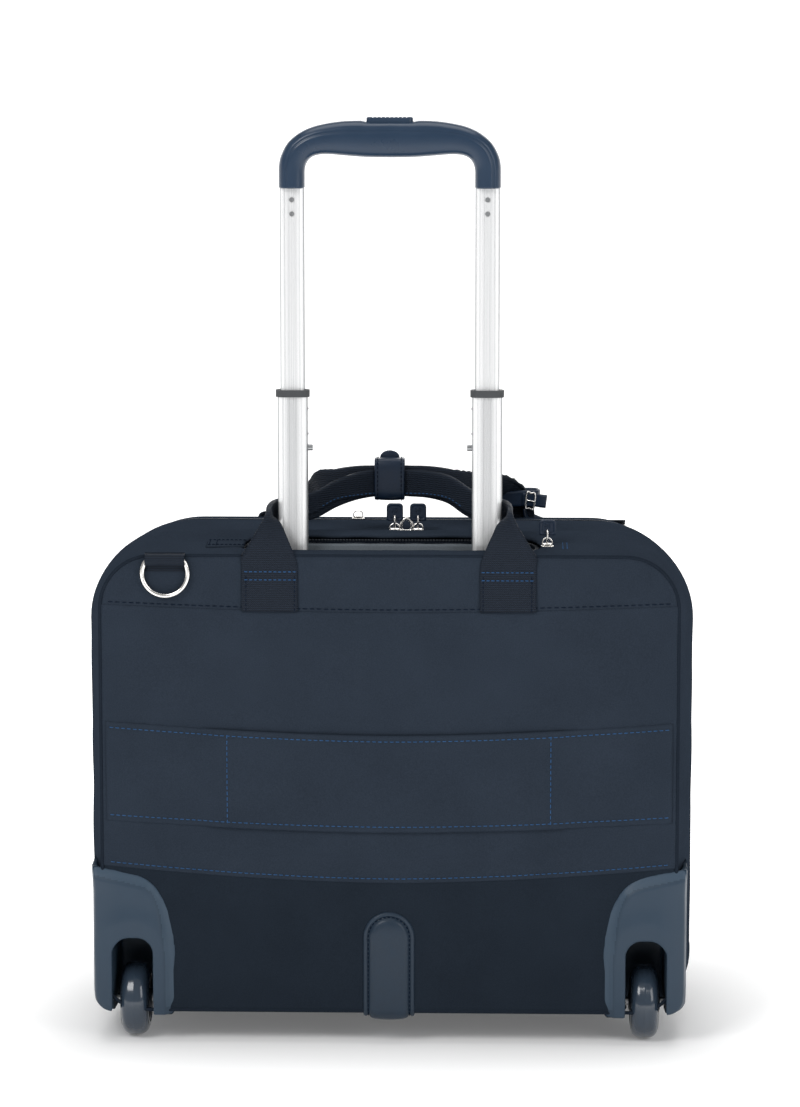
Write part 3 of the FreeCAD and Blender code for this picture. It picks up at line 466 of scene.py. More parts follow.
def studio():
    """Camera at the photographed angle, soft lights and a white floor."""
    camera = bpy.data.cameras.new("camera")
    camera.sensor_width = 36.0
    camera.lens = 124.7
    seen = bpy.data.objects.new("camera", camera)
    bpy.context.scene.collection.objects.link(seen)
    seen.location = (0.085, -2.8, 0.738)
    look_down = 8.0
    seen.rotation_euler = (math.radians(90 - look_down), 0.0, math.atan2(0.077, 2.7))
    bpy.context.scene.camera = seen
    bpy.context.scene.view_settings.view_transform = "Standard"

    def lamp(name, place, aim, size, power):
        light = bpy.data.lights.new(name, "AREA")
        light.shape = "RECTANGLE"
        light.size, light.size_y = size
        light.energy = power
        held = bpy.data.objects.new(name, light)
        held.location = place
        held.rotation_euler = (Vector(aim) - Vector(place)).to_track_quat("-Z", "Y").to_euler()
        bpy.context.scene.collection.objects.link(held)

    lamp("key", (-1.5, -2.0, 2.3), (0, 0, 0.25), (1.3, 1.3), 44)
    lamp("fill", (1.9, -1.9, 1.4), (0, 0, 0.3), (1.1, 1.8), 22)
    lamp("top", (0.0, 0.1, 2.4), (0, 0, 0.3), (2.0, 1.2), 20)
    lamp("rim", (0.3, 2.2, 1.5), (0, 0, 0.4), (2.0, 1.2), 14)

    world = bpy.data.worlds.new("studio")
    bpy.context.scene.world = world
    world.use_nodes = True
    world.node_tree.nodes["Background"].inputs["Color"].default_value = (1, 1, 1, 1)
    world.node_tree.nodes["Background"].inputs["Strength"].default_value = 0.32

    # the floor bends up into the wall behind; millimetres
    half, rise, bend, back = 40000, 3000, 900, 6000
    depth = [(-half, 0.0), (back, 0.0)]
    depth += [(back + bend * math.sin(a), bend * (1 - math.cos(a)))
              for a in (math.radians(9 * k) for k in range(1, 11))]
    depth.append((back + bend, rise + bend))
    verts = [(x, y, z) for y, z in depth for x in (-half, half)]
    faces = [(2 * k, 2 * k + 1, 2 * k + 3, 2 * k + 2) for k in range(len(depth) - 1)]
    floor = mesh_object("studio_floor", verts, faces)
    made, tree, shader = node_tree("floor_paint", (0.82, 0.82, 0.82), 0.9, gloss=0.1)
    shader.inputs["Emission Color"].default_value = (1, 1, 1, 1)
    # painted light: the paper glows away from the case, where the lamps do not reach, and glows least round
    # the case's foot, which keeps the shadow there dark and short
    split = axes(tree)
    beside = [combine(tree, combine(tree, size_of(tree, split[axis]), reach, "SUBTRACT"), 0.0, "MAXIMUM")
              for axis, reach in (("X", 0.20), ("Y", 0.10))]
    squares = [combine(tree, span, 2.0, "POWER") for span in beside]
    away = combine(tree, combine(tree, *squares), 0.5, "POWER")
    painted_floor_glow = combine(tree, remap(tree, away, 0.12, 0.85, 0.0, 0.24),
                   remap(tree, split["Y"], 0.5, 1.0, -1.7, -0.9), "MULTIPLY")
    tree.links.new(painted_floor_glow, shader.inputs["Emission Strength"])
    floor.data.materials.append(made)


# ------------------------------------------------------------------------ case form

def corners(name):
    """Lowest and highest corner of a CAD node in millimetres."""
    low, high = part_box(name)
    return np.array(low) / MM, np.array(high) / MM


def extent_at(name, y):
    """Half width and top of a CAD wall at a depth."""
    points = np.array([v.co for v in NODES[name].data.vertices]) / MM
    near = points[np.abs(points[:, 1] - y) < 0.2]
    return np.abs(near[:, 0]).max(), near[:, 2].max()


BACK, FRONT = corners("back_panel")[0][1], corners("front_panel")[1][1]
MAIN_ZIP, LID_ZIP = corners("rear_gusset")[1][1], corners("lid_zip_chain")[0][1] + 4
depths = (BACK, MAIN_ZIP - 4, FRONT)
sizes_at = [extent_at(n, y) for n, y in zip(("back_panel", "rear_gusset", "front_panel"), depths)]
HALF = np.polyfit(depths, [size[0] + soft for size, soft in zip(sizes_at, (1.4, -1.8, 0))], 2)
HIGH = np.polyfit(depths, [size[1] for size in sizes_at], 2)
base_low = corners("base_panel")[0][2]
LOW = np.polyfit((BACK, 0, FRONT), (base_low + 2, base_low, base_low + 2), 2)
TOP_ROUND = np.polyfit((BACK, 0, FRONT), (38, 66, 60), 2)
LOW_ROUND = 28.0

# columns round the case's outline, as (segment, share of the segment); the segments are
# the bottom right half, corner, side, corner, top, corner, side, corner, bottom left half
SEGMENT_STEPS = (34, 12, 64, 18, 130, 18, 64, 12, 34)
COLUMNS = [(segment, step / count) for segment, count in enumerate(SEGMENT_STEPS) for step in range(count)]
SEGMENT = np.array([c[0] for c in COLUMNS])
SHARE = np.array([c[1] for c in COLUMNS])


def shell(y, puff=0.0, columns=slice(None)):
    """Points and outward directions of the case's outline at depths y, moved out by puff."""
    y = np.asarray(y, float)[:, None]
    segment, share = SEGMENT[columns][None, :], SHARE[columns][None, :]
    half, high, low = np.polyval(HALF, y), np.polyval(HIGH, y), np.polyval(LOW, y)
    top, foot = np.polyval(TOP_ROUND, y), LOW_ROUND
    quarter = share * math.pi / 2
    zero, one = np.zeros_like(y * share), np.ones_like(y * share)
    x = np.select([segment == k for k in range(9)], [
        share * (half - foot), half - foot + foot * np.sin(quarter), half * one,
        half - top + top * np.cos(quarter), (half - top) * (1 - 2 * share),
        -(half - top) - top * np.sin(quarter), -half * one,
        -(half - foot) - foot * np.cos(quarter), -(half - foot) * (1 - share)])
    z = np.select([segment == k for k in range(9)], [
        low * one, low + foot - foot * np.cos(quarter), low + foot + share * (high - top - low - foot),
        high - top + top * np.sin(quarter), high * one, high - top + top * np.cos(quarter),
        high - top - share * (high - top - low - foot), low + foot - foot * np.sin(quarter), low * one])
    nx = np.select([segment == k for k in range(9)], [
        zero, np.sin(quarter), one, np.cos(quarter), zero, -np.sin(quarter), -one, -np.cos(quarter), zero])
    nz = np.select([segment == k for k in range(9)], [
        -one, -np.cos(quarter), zero, np.sin(quarter), one, np.cos(quarter), zero, -np.sin(quarter), -one])
    points = np.stack([x, y * one, z], axis=2)
    out = np.stack([nx * one, zero, nz * one], axis=2)
    return points + out * (puff if np.isscalar(puff) else puff[..., None]), out


def rows_between(a, b, count):
    """Depths from a to b, closer together near both ends."""
    return a + (b - a) * (0.5 - 0.5 * np.cos(np.linspace(0.12, math.pi - 0.12, count)) / math.cos(0.12))


def seam_roll(y, a, b, reach=2.2, drop=1.1):
    """How far cloth turns in beside the seams at its two edges."""
    edge = np.minimum(y - a, b - y)
    return -drop * np.clip(1 - edge / reach, 0, 1) ** 2


def stadium(x, y, centre, half_length, half_width):
    """Signed distance to a slot with round ends, negative inside."""
    along = np.maximum(np.abs(x) - (half_length - half_width), 0)
    return np.hypot(along, y - centre) - half_width


def around(name, y0, y1, rows, look, replaces, bulge=1.6, keep=None, warp=None, seed=0.0, depth=2.2):
    """Cloth wall round the case between two depths."""
    y = rows_between(y0, y1, rows)
    share = (y - y0) / (y1 - y0)
    turn = np.arange(len(COLUMNS)) * 2 * math.pi / len(COLUMNS)
    puff = (bulge * np.sin(share * math.pi)[:, None] ** 0.7 * np.ones_like(turn)
            + seam_roll(y, y0, y1)[:, None]
            + 0.55 * np.sin(share * math.pi)[:, None] * smooth_noise(turn[None, :] * 9,
                                                                     y[:, None] * 0.05, seed))
    points, out = shell(y, puff)
    if warp is not None:
        points = warp(points, out)
    kept = None if keep is None else (lambda r, c: keep(points, r, c))
    piece = grid_object(name, points, wrap=True, keep=kept)
    piece.data.flip_normals()
    clean_loose(piece)
    thicken(piece, depth)
    return finish_piece(piece, look, "case", replaces)


def clean_loose(piece):
    """Drops vertices that no face uses."""
    mesh = piece.data
    used = np.zeros(len(mesh.vertices), bool)
    loops = np.empty(len(mesh.loops), int)
    mesh.loops.foreach_get("vertex_index", loops)
    used[loops] = True
    if used.all():
        return
    made = np.cumsum(used) - 1
    points = np.empty(len(mesh.vertices) * 3)
    mesh.vertices.foreach_get("co", points)
    points = points.reshape(-1, 3)[used]
    faces = [[int(made[v]) for v in face.vertices] for face in mesh.polygons]
    fresh = bpy.data.meshes.new(mesh.name)
    fresh.from_pydata(points.tolist(), [], faces)
    fresh.polygons.foreach_set("use_smooth", [True] * len(fresh.polygons))
    fresh.update()
    piece.data = fresh


# ------------------------------------------------------------------------ the soft case

SLOT_LOW, SLOT_HIGH = corners("handle_zip_chain")
SLOT_Y = (SLOT_LOW[1] + SLOT_HIGH[1]) / 2
SLOT_HALF, SLOT_WIDE = SLOT_HIGH[0], (SLOT_HIGH[1] - SLOT_LOW[1]) / 2
BASE_SEAM = corners("base_panel")[1][2]
tyre_low, tyre_high = corners("tyre_right")
HOUSING_X = (tyre_low[0] + tyre_high[0]) / 2
HOUSING_HALF, HOUSING_TOP, HOUSING_FRONT = 18.4, 81.0, -38.0
ZIP_END = corners("main_zip_chain")[0][2]


def far_lift(x, y):
    """How far the lips of the handle slot are raised above the case's top."""
    side = np.clip((y - SLOT_Y) / SLOT_WIDE, 0, 1)
    near = np.clip((SLOT_Y - y) / SLOT_WIDE, 0, 1)
    return (3.4 * side + 1.5 * near) * np.clip((SLOT_HALF + 14 - np.abs(x)) / 45, 0, 1) ** 0.8


def slot_distance(points):
    top = points[..., 2] > 300
    d = stadium(points[..., 0], points[..., 1], SLOT_Y, SLOT_HALF, SLOT_WIDE)
    return np.where(top, d, 999.0)


def open_slot(points, out):
    """Draws the cloth's edge onto the slot's outline and turns it in."""
    d = slot_distance(points)
    inside = (d < 0) & (d > -6)
    x, y = points[..., 0], points[..., 1]
    along = np.sign(x) * np.maximum(np.abs(x) - (SLOT_HALF - SLOT_WIDE), 0)
    away = np.stack([along, y - SLOT_Y], axis=2)
    away = unit(away)
    moved = points.copy()
    moved[..., :2] = np.where(inside[..., None], points[..., :2] - away * d[..., None], points[..., :2])
    near = np.clip(1 - np.abs(slot_distance(moved)) / 3.0, 0, 1)
    moved[..., 2] -= 1.1 * near ** 2
    fade = np.exp(-(np.maximum(slot_distance(moved), 0) / 11) ** 2)
    moved[..., 2] += far_lift(moved[..., 0], moved[..., 1]) * fade
    # the top is fullest between the slot and the main zip
    y = moved[..., 1]
    full = np.clip((y + 64) / 18, 0, 1) * np.clip((MAIN_ZIP - 3 - y) / 15, 0, 1)
    full = full * full * (3 - 2 * full)
    moved[..., 2] += 4.2 * full * np.clip(out[..., 2], 0,
                                          1) ** 2 * (1 - 0.75 * fade * (slot_distance(points) < 900))
    return moved


def slot_kept(points, r, c):
    columns = len(COLUMNS)
    four = [slot_distance(points[i, j % columns]) for i in (r, r + 1) for j in (c, c + 1)]
    return (max(four) > -0.4 and sum(four) > 1.0 and points[r, c, 2] > BASE_SEAM - 3
            and not wheel_notch(points[r, c]))


def wheel_notch(point):
    """True where the wheel housings come through the cloth."""
    return (abs(abs(point[0]) - HOUSING_X) < HOUSING_HALF and point[2] < HOUSING_TOP
            and point[1] < HOUSING_FRONT)


def base_only(points, r, c):
    return points[r, c, 2] <= BASE_SEAM + 3 and not wheel_notch(points[r, c])


def above_base(points, r, c):
    return points[r, c, 2] > BASE_SEAM - 3


around("rear_gusset_cloth", BACK + 0.6, MAIN_ZIP - 4, 46, "shell", ["rear_gusset"], 1.5, slot_kept,
       open_slot, 1.0)
around("front_gusset_cloth", MAIN_ZIP + 4, LID_ZIP - 4, 34, "shell", ["front_gusset"], 1.8,
       above_base, None, 2.0)
around("base_cloth", BACK + 0.6, LID_ZIP + 4, 60, "abrasion", ["base_panel"], 0.9, base_only, None, 3.0)


def zip_band(name, centre, replaces):
    """Tape of a closed zip round the case, raised over the covered coil."""
    offsets = np.array([-6.2, -5.2, -3.6, -2.1, -1.5, -0.9, -0.3, 0.3, 0.9, 1.5, 2.1, 3.6, 5.2, 6.2])
    rise = np.array([-1.9, -1.5, -1.35, -1.3, -0.5, 0.1, -0.35, -0.35, 0.1, -0.5, -1.3, -1.35, -1.5, -1.9])
    points, out = shell(centre + offsets, rise[:, None] * np.ones(len(COLUMNS)))
    piece = grid_object(name, points, wrap=True)
    piece.data.flip_normals()
    thicken(piece, 1.4)
    finish_piece(piece, "tape", "case", replaces)


zip_band("main_zip_tape", MAIN_ZIP, ["main_zip_chain"])
zip_band("lid_zip_tape", LID_ZIP, ["lid_zip_chain"])


def rim_line(y, out=0.0, step=3.0):
    """Line round the case's outline at a depth, with its outward directions."""
    points, outs = shell([y], out)
    both = resampled(np.hstack([points[0], outs[0]]), step, closed=True)
    return both[:, :3], unit(both[:, 3:])


def piping(name, y, radius, out):
    path, outs = rim_line(y, out)
    batch = Batch()
    batch.add(*sweep(path, round_section(radius, 10), outs, closed=True))
    return batch.build(name, "piping", "case", "shell_fabric")


piping("rear_piping", BACK + 0.6, 1.35, 0.1)
piping("front_piping", FRONT - 1.2, 1.5, -0.6)

# teeth of the two compartment zips, in pairs along the coil
teeth = Batch()
for line in (MAIN_ZIP, LID_ZIP):
    path, outs = rim_line(line, 0.15, 1.9)
    along = directions(path, closed=True)
    for point, out, way in zip(path, outs, along):
        if point[2] < ZIP_END:
            continue
        side = np.cross(out, way)
        for sign in (-1, 1):
            spine = point + sign * side * 0.5 + np.outer([-0.95, 0.95], side) * 0.75 + way * 0.4 * sign
            teeth.add(*sweep(spine, [(-0.42, -0.35), (0.42, -0.35), (0.42, 0.2), (0.2, 0.42), (-0.2, 0.42),
                                     (-0.42, 0.2)], way))
teeth.build("zip_coils", "teeth", "case", "zip_tape")

# ---- back panel: yoke, middle and lower cloths that overlap at their seams

back_half = np.polyval(HALF, BACK)
back_high, back_low = np.polyval(HIGH, BACK), np.polyval(LOW, BACK)
back_round = np.polyval(TOP_ROUND, BACK)


def sag(x, at_side, at_middle):
    return at_middle + (at_side - at_middle) * np.abs(x / back_half) ** 1.7


def top_line(x):
    over = np.maximum(np.abs(x) - (back_half - back_round), 0)
    return back_high - back_round + np.sqrt(np.maximum(back_round ** 2 - over ** 2, 0))


def bottom_line(x):
    over = np.maximum(np.abs(x) - (back_half - LOW_ROUND), 0)
    return back_low + LOW_ROUND - np.sqrt(np.maximum(LOW_ROUND ** 2 - over ** 2, 0))


def yoke_line(x):
    return sag(x, 322, 316.5)


def lower_line(x):
    return sag(x, 130, 118)


def band_top(x):
    return sag(x, 237, 227)


def band_bottom(x):
    return sag(x, 164, 156)


def back_relief(x, z):
    """How far the back stands out: fuller between the seams, with faint pulls in the cloth."""
    full = 1.3 * (1 - (x / back_half) ** 2) ** 0.6
    seams = [np.abs(z - line(x)) for line in (yoke_line, lower_line, band_top, band_bottom)]
    near = np.minimum.reduce(seams)
    edge = np.minimum(back_half - np.abs(x), np.minimum(top_line(x) - z, z - bottom_line(x)))
    rolled = -0.9 * np.clip(1 - edge / 3.5, 0, 1) ** 2
    pull = 0.28 * np.exp(-near / 16) * np.sin(x * 0.16 + 2.2 * np.sin(x * 0.031)) * np.clip(near / 4, 0, 1)
    return full * np.clip(near / 22, 0, 1) ** 0.8 + rolled + pull + 0.16 * smooth_noise(x * 0.03,
                                                                                        z * 0.035, 4.0)


def back_cloth(name, low_line, high_line, rows, look, proud, fold_low, fold_high):
    """One cloth of the back; a folded edge turns under, proud of the cloth that it covers."""
    x = back_half * np.sin(np.linspace(-1, 1, 190) * math.pi / 2 * 0.985) / math.sin(math.pi / 2 * 0.985)
    v = (0.5 - 0.5 * np.cos(np.linspace(0, math.pi, rows)))[:, None]
    low, high = low_line(x)[None, :], high_line(x)[None, :]
    z = low + (high - low) * v
    x = np.broadcast_to(x, z.shape)
    out = back_relief(x, z) + proud
    if fold_low:
        out = out - 2.0 * np.clip(1 - (z - low) / 1.6, 0, 1) ** 2
    if fold_high:
        out = out - 2.0 * np.clip(1 - (high - z) / 1.6, 0, 1) ** 2
    points = np.stack([x, BACK - out, z], axis=2)
    piece = grid_object(name, points, keep=lambda r, c: not wheel_notch(points[r, c]))
    clean_loose(piece)
    thicken(piece, 1.6)
    return finish_piece(piece, look, "case", ["back_panel"])


back_cloth("back_yoke_cloth", lambda x: yoke_line(x) - 4, top_line, 44, "shell", 0.0, False, False)
back_cloth("back_middle_cloth", lower_line, yoke_line, 120, "shell", 0.7, True, True)
back_cloth("back_lower_cloth", bottom_line, lambda x: lower_line(x) + 4, 60, "abrasion", -0.1, False, False)


# ---- luggage band: hemmed cloth, sewn down at its ends and two upright lines

BAND_LOW, BAND_HIGH = corners("luggage_band")
band_flat = corners("luggage_band")[1][1] - 1.8
band_stand = BAND_LOW[1] + 3.0
STAND_HALF, SEWN_HALF = 116.0, 140.0
HEM = 0.062        # share of the band's height from its edge to the hem's stitches


def band_depth(x):
    """Depth of the band's outer face: standing off in the middle, flat on the panel outside."""
    t = np.clip((np.abs(x) - STAND_HALF) / (SEWN_HALF - STAND_HALF), 0, 1)
    t = t * t * (3 - 2 * t)
    return band_stand * (1 - t) + band_flat * t


def band_face(x, v):
    """Point on the band's outer face; v runs from its bottom edge to its top edge."""
    z = band_bottom(x) + (band_top(x) - band_bottom(x)) * v
    centre = np.clip(1 - np.abs(np.abs(x) - STAND_HALF) / 5, 0, 1) ** 2
    mid = np.sin(v * math.pi)
    out = 0.5 * mid * (np.abs(x) < 190) - 0.5 * centre + 0.22 * smooth_noise(x * 0.045, v * 3.0, 6.0) * mid
    pucker = 0.18 * np.sin(x * 0.42 + 1.5 * np.sin(x * 0.11)) * np.exp(-np.minimum(v, 1 - v) * 14)
    rolled = -1.1 * np.clip(1 - np.minimum(v, 1 - v) / 0.018, 0, 1) ** 2
    hem = -0.45 * np.exp(-((np.minimum(v, 1 - v) - HEM) / 0.012) ** 2)
    return np.stack([x, band_depth(x) - out - pucker - rolled - hem, z], axis=-1)


band_half = BAND_HIGH[0]
xs = np.linspace(-band_half, band_half, 210)
vs = 0.5 - 0.5 * np.cos(np.linspace(0, math.pi, 46))
grid_x, grid_v = np.meshgrid(xs, vs)
band = grid_object("luggage_band_cloth", band_face(grid_x, grid_v))
thicken(band, 1.5)
finish_piece(band, "shell", "case", ["luggage_band"])

outward = np.array([0.0, -1.0, 0.0])


def row_on(batch, points, normal=outward, **look):
    points = np.asarray(points, float)
    stitch_row(batch, points, np.broadcast_to(normal, points.shape), **look)


blue, quiet = Batch(), Batch()
long_x = np.linspace(-band_half + 4, band_half - 4, 160)
for v in (HEM, 1 - HEM):
    row_on(blue, band_face(long_x, np.full_like(long_x, v)))
for side in (-1, 1):
    vline = np.linspace(0.07, 0.93, 40)
    row_on(blue, band_face(np.full_like(vline, side * STAND_HALF), vline))
row_on(blue, np.stack([long_x, BACK - back_relief(long_x, lower_line(long_x) + 4) - 0.7,
                       lower_line(long_x) + 4], 1))
row_on(quiet, np.stack([long_x, BACK - back_relief(long_x, yoke_line(long_x) + 1) - 0.2,
                        yoke_line(long_x) + 1.2], 1),
       pitch=5.0, length=3.6, radius=0.3)
blue.build("band_stitches", "thread", "case", "shell_fabric")
quiet.build("seam_stitches", "quiet_thread", "case", "shell_fabric")

# ---- front: shaped panel and a puffed pocket


def front_face(name, half_x, low, high, round_low, round_top, base_y, bulge, rows, look, replaces,
               lip=0.0, seed=0.0):
    """Puffed panel facing the front with rounded corners; its rim turns back by lip."""
    xs = half_x * np.sin(np.linspace(-1, 1, 120) * math.pi / 2 * 0.98) / math.sin(math.pi / 2 * 0.98)
    over_top = np.maximum(np.abs(xs) - (half_x - round_top), 0)
    over_low = np.maximum(np.abs(xs) - (half_x - round_low), 0)
    z_top = high - round_top + np.sqrt(np.maximum(round_top ** 2 - over_top ** 2, 0))
    z_low = low + round_low - np.sqrt(np.maximum(round_low ** 2 - over_low ** 2, 0))
    v = (0.5 - 0.5 * np.cos(np.linspace(0, math.pi, rows)))[:, None]
    z = z_low + (z_top - z_low) * v
    x = np.broadcast_to(xs, z.shape)
    edge = np.minimum(half_x - np.abs(x), np.minimum(z_top - z, z - z_low))
    out = (bulge * np.clip(edge / 40, 0, 1) ** 0.5 - lip * np.clip(1 - edge / 7, 0, 1) ** 2
           + 0.4 * smooth_noise(x * 0.022, z * 0.027, seed) * np.clip(edge / 20, 0, 1))
    piece = grid_object(name, np.stack([x, base_y + out, z], axis=2))
    piece.data.flip_normals()
    thicken(piece, 1.8)
    finish_piece(piece, look, "case", replaces)
    return piece, lambda px: np.interp(px, xs, z_top), lambda px: np.interp(px, xs, z_low)


front_half = np.polyval(HALF, FRONT)
around("front_rim_cloth", LID_ZIP + 4, FRONT - 0.6, 22, "shell", ["front_panel"], 0.8, None, None, 5.0)
front_face("front_cloth", front_half, np.polyval(LOW, FRONT), np.polyval(HIGH, FRONT), LOW_ROUND,
           np.polyval(TOP_ROUND, FRONT), FRONT, 1.2, 90, "shell", ["front_panel"], 1.4, 7.0)
POCKET_LOW, POCKET_HIGH = corners("front_pocket")
pocket_half = POCKET_HIGH[0]
front_face("pocket_cloth", pocket_half, POCKET_LOW[2], POCKET_HIGH[2], 30, 22, POCKET_HIGH[1] - 2.5, 2.0, 80,
           "shell", ["front_pocket"], 5.0, 8.0)

# side and bottom wall of the pocket, drawn in a little between its front and back edges
pocket_path = np.array([(-pocket_half, POCKET_HIGH[2] - 12), (-pocket_half, POCKET_LOW[2] + 30),
                        (-pocket_half + 9, POCKET_LOW[2] + 9), (-pocket_half + 30, POCKET_LOW[2]),
                        (0, POCKET_LOW[2]), (pocket_half - 30, POCKET_LOW[2]),
                        (pocket_half - 9, POCKET_LOW[2] + 9), (pocket_half, POCKET_LOW[2] + 30),
                        (pocket_half, POCKET_HIGH[2] - 12)])
pocket_line = resampled(spline(pocket_path, 200), 4.0)
pocket_out = directions(pocket_line)[:, ::-1] * np.array([1, -1])
depth_rows = np.linspace(FRONT - 0.5, POCKET_HIGH[1] - 3.5, 9)
wave = np.sin(np.linspace(0, math.pi, 9))
wall_points = np.array([[(p[0] - o[0] * 1.6 * w, y, p[1] - o[1] * 1.6 * w)
                         for p, o in zip(pocket_line, pocket_out)] for y, w in zip(depth_rows, wave)])
pocket_wall = grid_object("pocket_wall_cloth", wall_points)
thicken(pocket_wall, 1.4, 0.0)
finish_piece(pocket_wall, "shell", "case", ["front_pocket"])


# ------------------------------------------------------------------------ carry handles

WEB_THICK = 1.7
REAR_WALL, FRONT_WALL = corners("rear_carry_strap")[0][1], corners("front_carry_strap")[1][1]
FOOT = corners("rear_carry_strap")[0][2]
STRAP_OUT = corners("rear_carry_strap")[1][0]
STRAP_WIDE = 41
STRAP_IN = STRAP_OUT - STRAP_WIDE
HAND_TOP = corners("rear_carry_strap")[1][2]


def strap_sections(stations, count):
    """Smooth run of strap sections. A station has the inner selvage, the line where the
    webbing folds over, the side that the folded part lies on and its width."""
    rows = np.array([[*inner, *fold, *side, flap] for inner, fold, side, flap in stations], float)
    steps = np.linalg.norm(np.diff((rows[:, :3] + rows[:, 3:6]) / 2, axis=0), axis=1)
    reach = np.concatenate([[0], np.cumsum(steps)])
    at = np.linspace(0, reach[-1], count)
    index = np.interp(at, reach, np.arange(len(rows)))
    whole = np.minimum(index.astype(int), len(rows) - 2)
    f = (index - whole)[:, None]
    take = lambda k: rows[np.clip(k, 0, len(rows) - 1)]
    a, b, c, d = take(whole - 1), take(whole), take(whole + 1), take(whole + 2)
    return between(a, b, c, d, f)


def strap_surface(rows, gap=2.3, across=26):
    """Centre surface of a strap that is partly folded in two lengthwise."""
    inner, fold, side = rows[:, None, :3], rows[:, None, 3:6], unit(rows[:, 6:9])[:, None]
    flap = np.maximum(rows[:, 9], 0.0)[:, None, None]
    front = np.linalg.norm(fold - inner, axis=2, keepdims=True)
    way = (fold - inner) / front
    share = np.linspace(0, 1, across)[None, :, None]
    run = share * (front + flap)
    d = run - front
    soft = np.sqrt(d ** 2 + 0.8) - 0.9
    behind = np.clip(flap / 3, 0, 1)
    lift = gap * (0.5 + 0.5 * np.tanh(d / 0.9)) * behind
    crown = 0.35 * np.sin(share * math.pi)
    return fold - way * np.abs(soft) + side * lift - side * crown * (1 - behind)


def webbing_mesh(surface, thick=WEB_THICK):
    """Solid strap from its centre surface, with thicker selvages and rounded ends."""
    du = np.gradient(surface, axis=0)
    dv = np.gradient(surface, axis=1)
    normal = unit(np.cross(du, dv))
    columns = surface.shape[1]
    edge = np.abs(np.linspace(-1, 1, columns))[None, :, None]
    half = thick / 2 * (1 + 0.25 * (edge > 0.9)) * (1 - 0.45 * (edge > 0.99))
    front, back = surface + normal * half, surface - normal * half
    ring = np.concatenate([front, back[:, ::-1]], axis=1)
    rows, cols = ring.shape[:2]
    faces = grid_faces(rows, cols, True)
    caps = []
    for row, flip in ((0, False), (rows - 1, True)):
        for k in range(columns - 1):
            face = (row * cols + k, row * cols + k + 1, row * cols + cols - 2 - k, row * cols + cols - 1 - k)
            caps.append(face[::-1] if flip else face)
    return ring.reshape(-1, 3), faces + caps, surface, normal


def flipped(stations):
    """The same strap on the other side of the case."""
    turn = np.array([-1, 1, 1])
    return [(np.array(i) * turn, np.array(f) * turn, np.array(s) * turn, w) for i, f, s, w in stations]


wall = REAR_WALL + 0.4
rear_left = [
    ((-STRAP_IN, wall, FOOT - 0.5), (-STRAP_OUT, wall, FOOT - 0.5), (0, 1, 0), 0),
    ((-STRAP_IN, wall, FOOT + 10), (-STRAP_OUT, wall, FOOT + 10), (0, 1, 0), 0),
    ((-STRAP_IN, wall, FOOT + 31), (-STRAP_OUT, wall, FOOT + 31), (0, 1, 0), 0),
    ((-STRAP_IN - 1.5, wall + 0.2, 354.5), (-STRAP_OUT - 0.2, wall - 0.8, 354.5), (0, 1, 0), 0.5),
    ((-68.5, -99.0, 362), (-101.0, -102.5, 362), (0, 1, 0), 5),
    ((-72.5, -94.5, 370), (-95.6, -102.5, 370.5), (-0.1, 1, 0), 10),
    ((-77.0, -89.0, 378), (-89.6, -100.5, 379.5), (-0.5, 0.85, 0), 15),
    ((-82.6, -82.0, 380.5), (-85.4, -94.0, 386.5), (-0.9, 0.3, 0), 18.5),
    ((-84.6, -70.0, 375.5), (-85.0, -78.0, 390.0), (-1, 0, 0), 20.5),
    ((-80.0, -56.0, 373.0), (-81.0, -60.0, 391.4), (-0.7, 0.7, 0), 20.5),
    ((-68.0, -46.5, 374.0), (-68.5, -48.0, 392.0), (-0.3, 1, 0), 20.5),
    ((-54.0, -35.0, 379.0), (-54.0, -36.0, 395.0), (0, 1, 0), 20.5),
    ((-41.0, -24.0, 385.0), (-41.0, -24.5, 401.0), (0, 1, 0), 20.5),
    ((-27.0, -13.0, 386.4), (-27.0, -13.5, 405.0), (0, 1, 0), 20.5),
    ((-13.0, -4.6, 386.8), (-13.0, -4.6, HAND_TOP - 2.6), (0, 1, 0), 20.5),
    ((0.0, -3.6, 387.0), (0.0, -3.6, HAND_TOP - 2.2), (0, 1, 0), 20.5),
]
rear_right = flipped(rear_left)
rear_right[-4] = ((41.0, -24.0, 385.8), (43.0, -24.5, 404.0), (0, 1, 0), 20.5)
rear_right[-5] = ((54.0, -35.0, 378.6), (57.0, -36.0, 396.5), (0, 1, 0), 20.5)
rear_right[-3] = ((27.0, -13.0, 387.4), (27.0, -13.5, 406.6), (0, 1, 0), 20.5)

wall = FRONT_WALL - 0.4
front_left = [
    ((-STRAP_IN, wall, FOOT - 4), (-STRAP_OUT, wall, FOOT - 4), (0, -1, 0), 0),
    ((-STRAP_IN, wall, FOOT + 20), (-STRAP_OUT, wall, FOOT + 20), (0, -1, 0), 0),
    ((-STRAP_IN, wall, FOOT + 38), (-STRAP_OUT, wall, FOOT + 38), (0, -1, 0), 0),
    ((-STRAP_IN, 86.5, 366.5), (-103.5, 89.5, 370), (0, -1, 0.2), 1),
    ((-63.6, 76.0, 369.8), (-97.0, 82.0, 383), (0.2, -0.8, 0.5), 3),
    ((-61.6, 61.0, 371.2), (-86.0, 68.0, 393), (0.3, -0.7, 0.5), 6),
    ((-58.0, 46.0, 372.5), (-72.5, 50.0, 398.5), (0.2, -1, 0.2), 10),
    ((-51.5, 33.0, 377.0), (-57.5, 34.5, 401.0), (0, -1, 0), 15),
    ((-42.5, 22.0, 383.5), (-43.5, 22.5, 404.0), (0, -1, 0), 20.5),
    ((-27.0, 12.0, 387.2), (-27.0, 12.5, 407.5), (0, -1, 0), 20.5),
    ((-13.0, 4.6, 388.4), (-13.0, 4.6, HAND_TOP - 0.4), (0, -1, 0), 20.5),
    ((0.0, 3.6, 388.6), (0.0, 3.6, HAND_TOP), (0, -1, 0), 20.5),
]

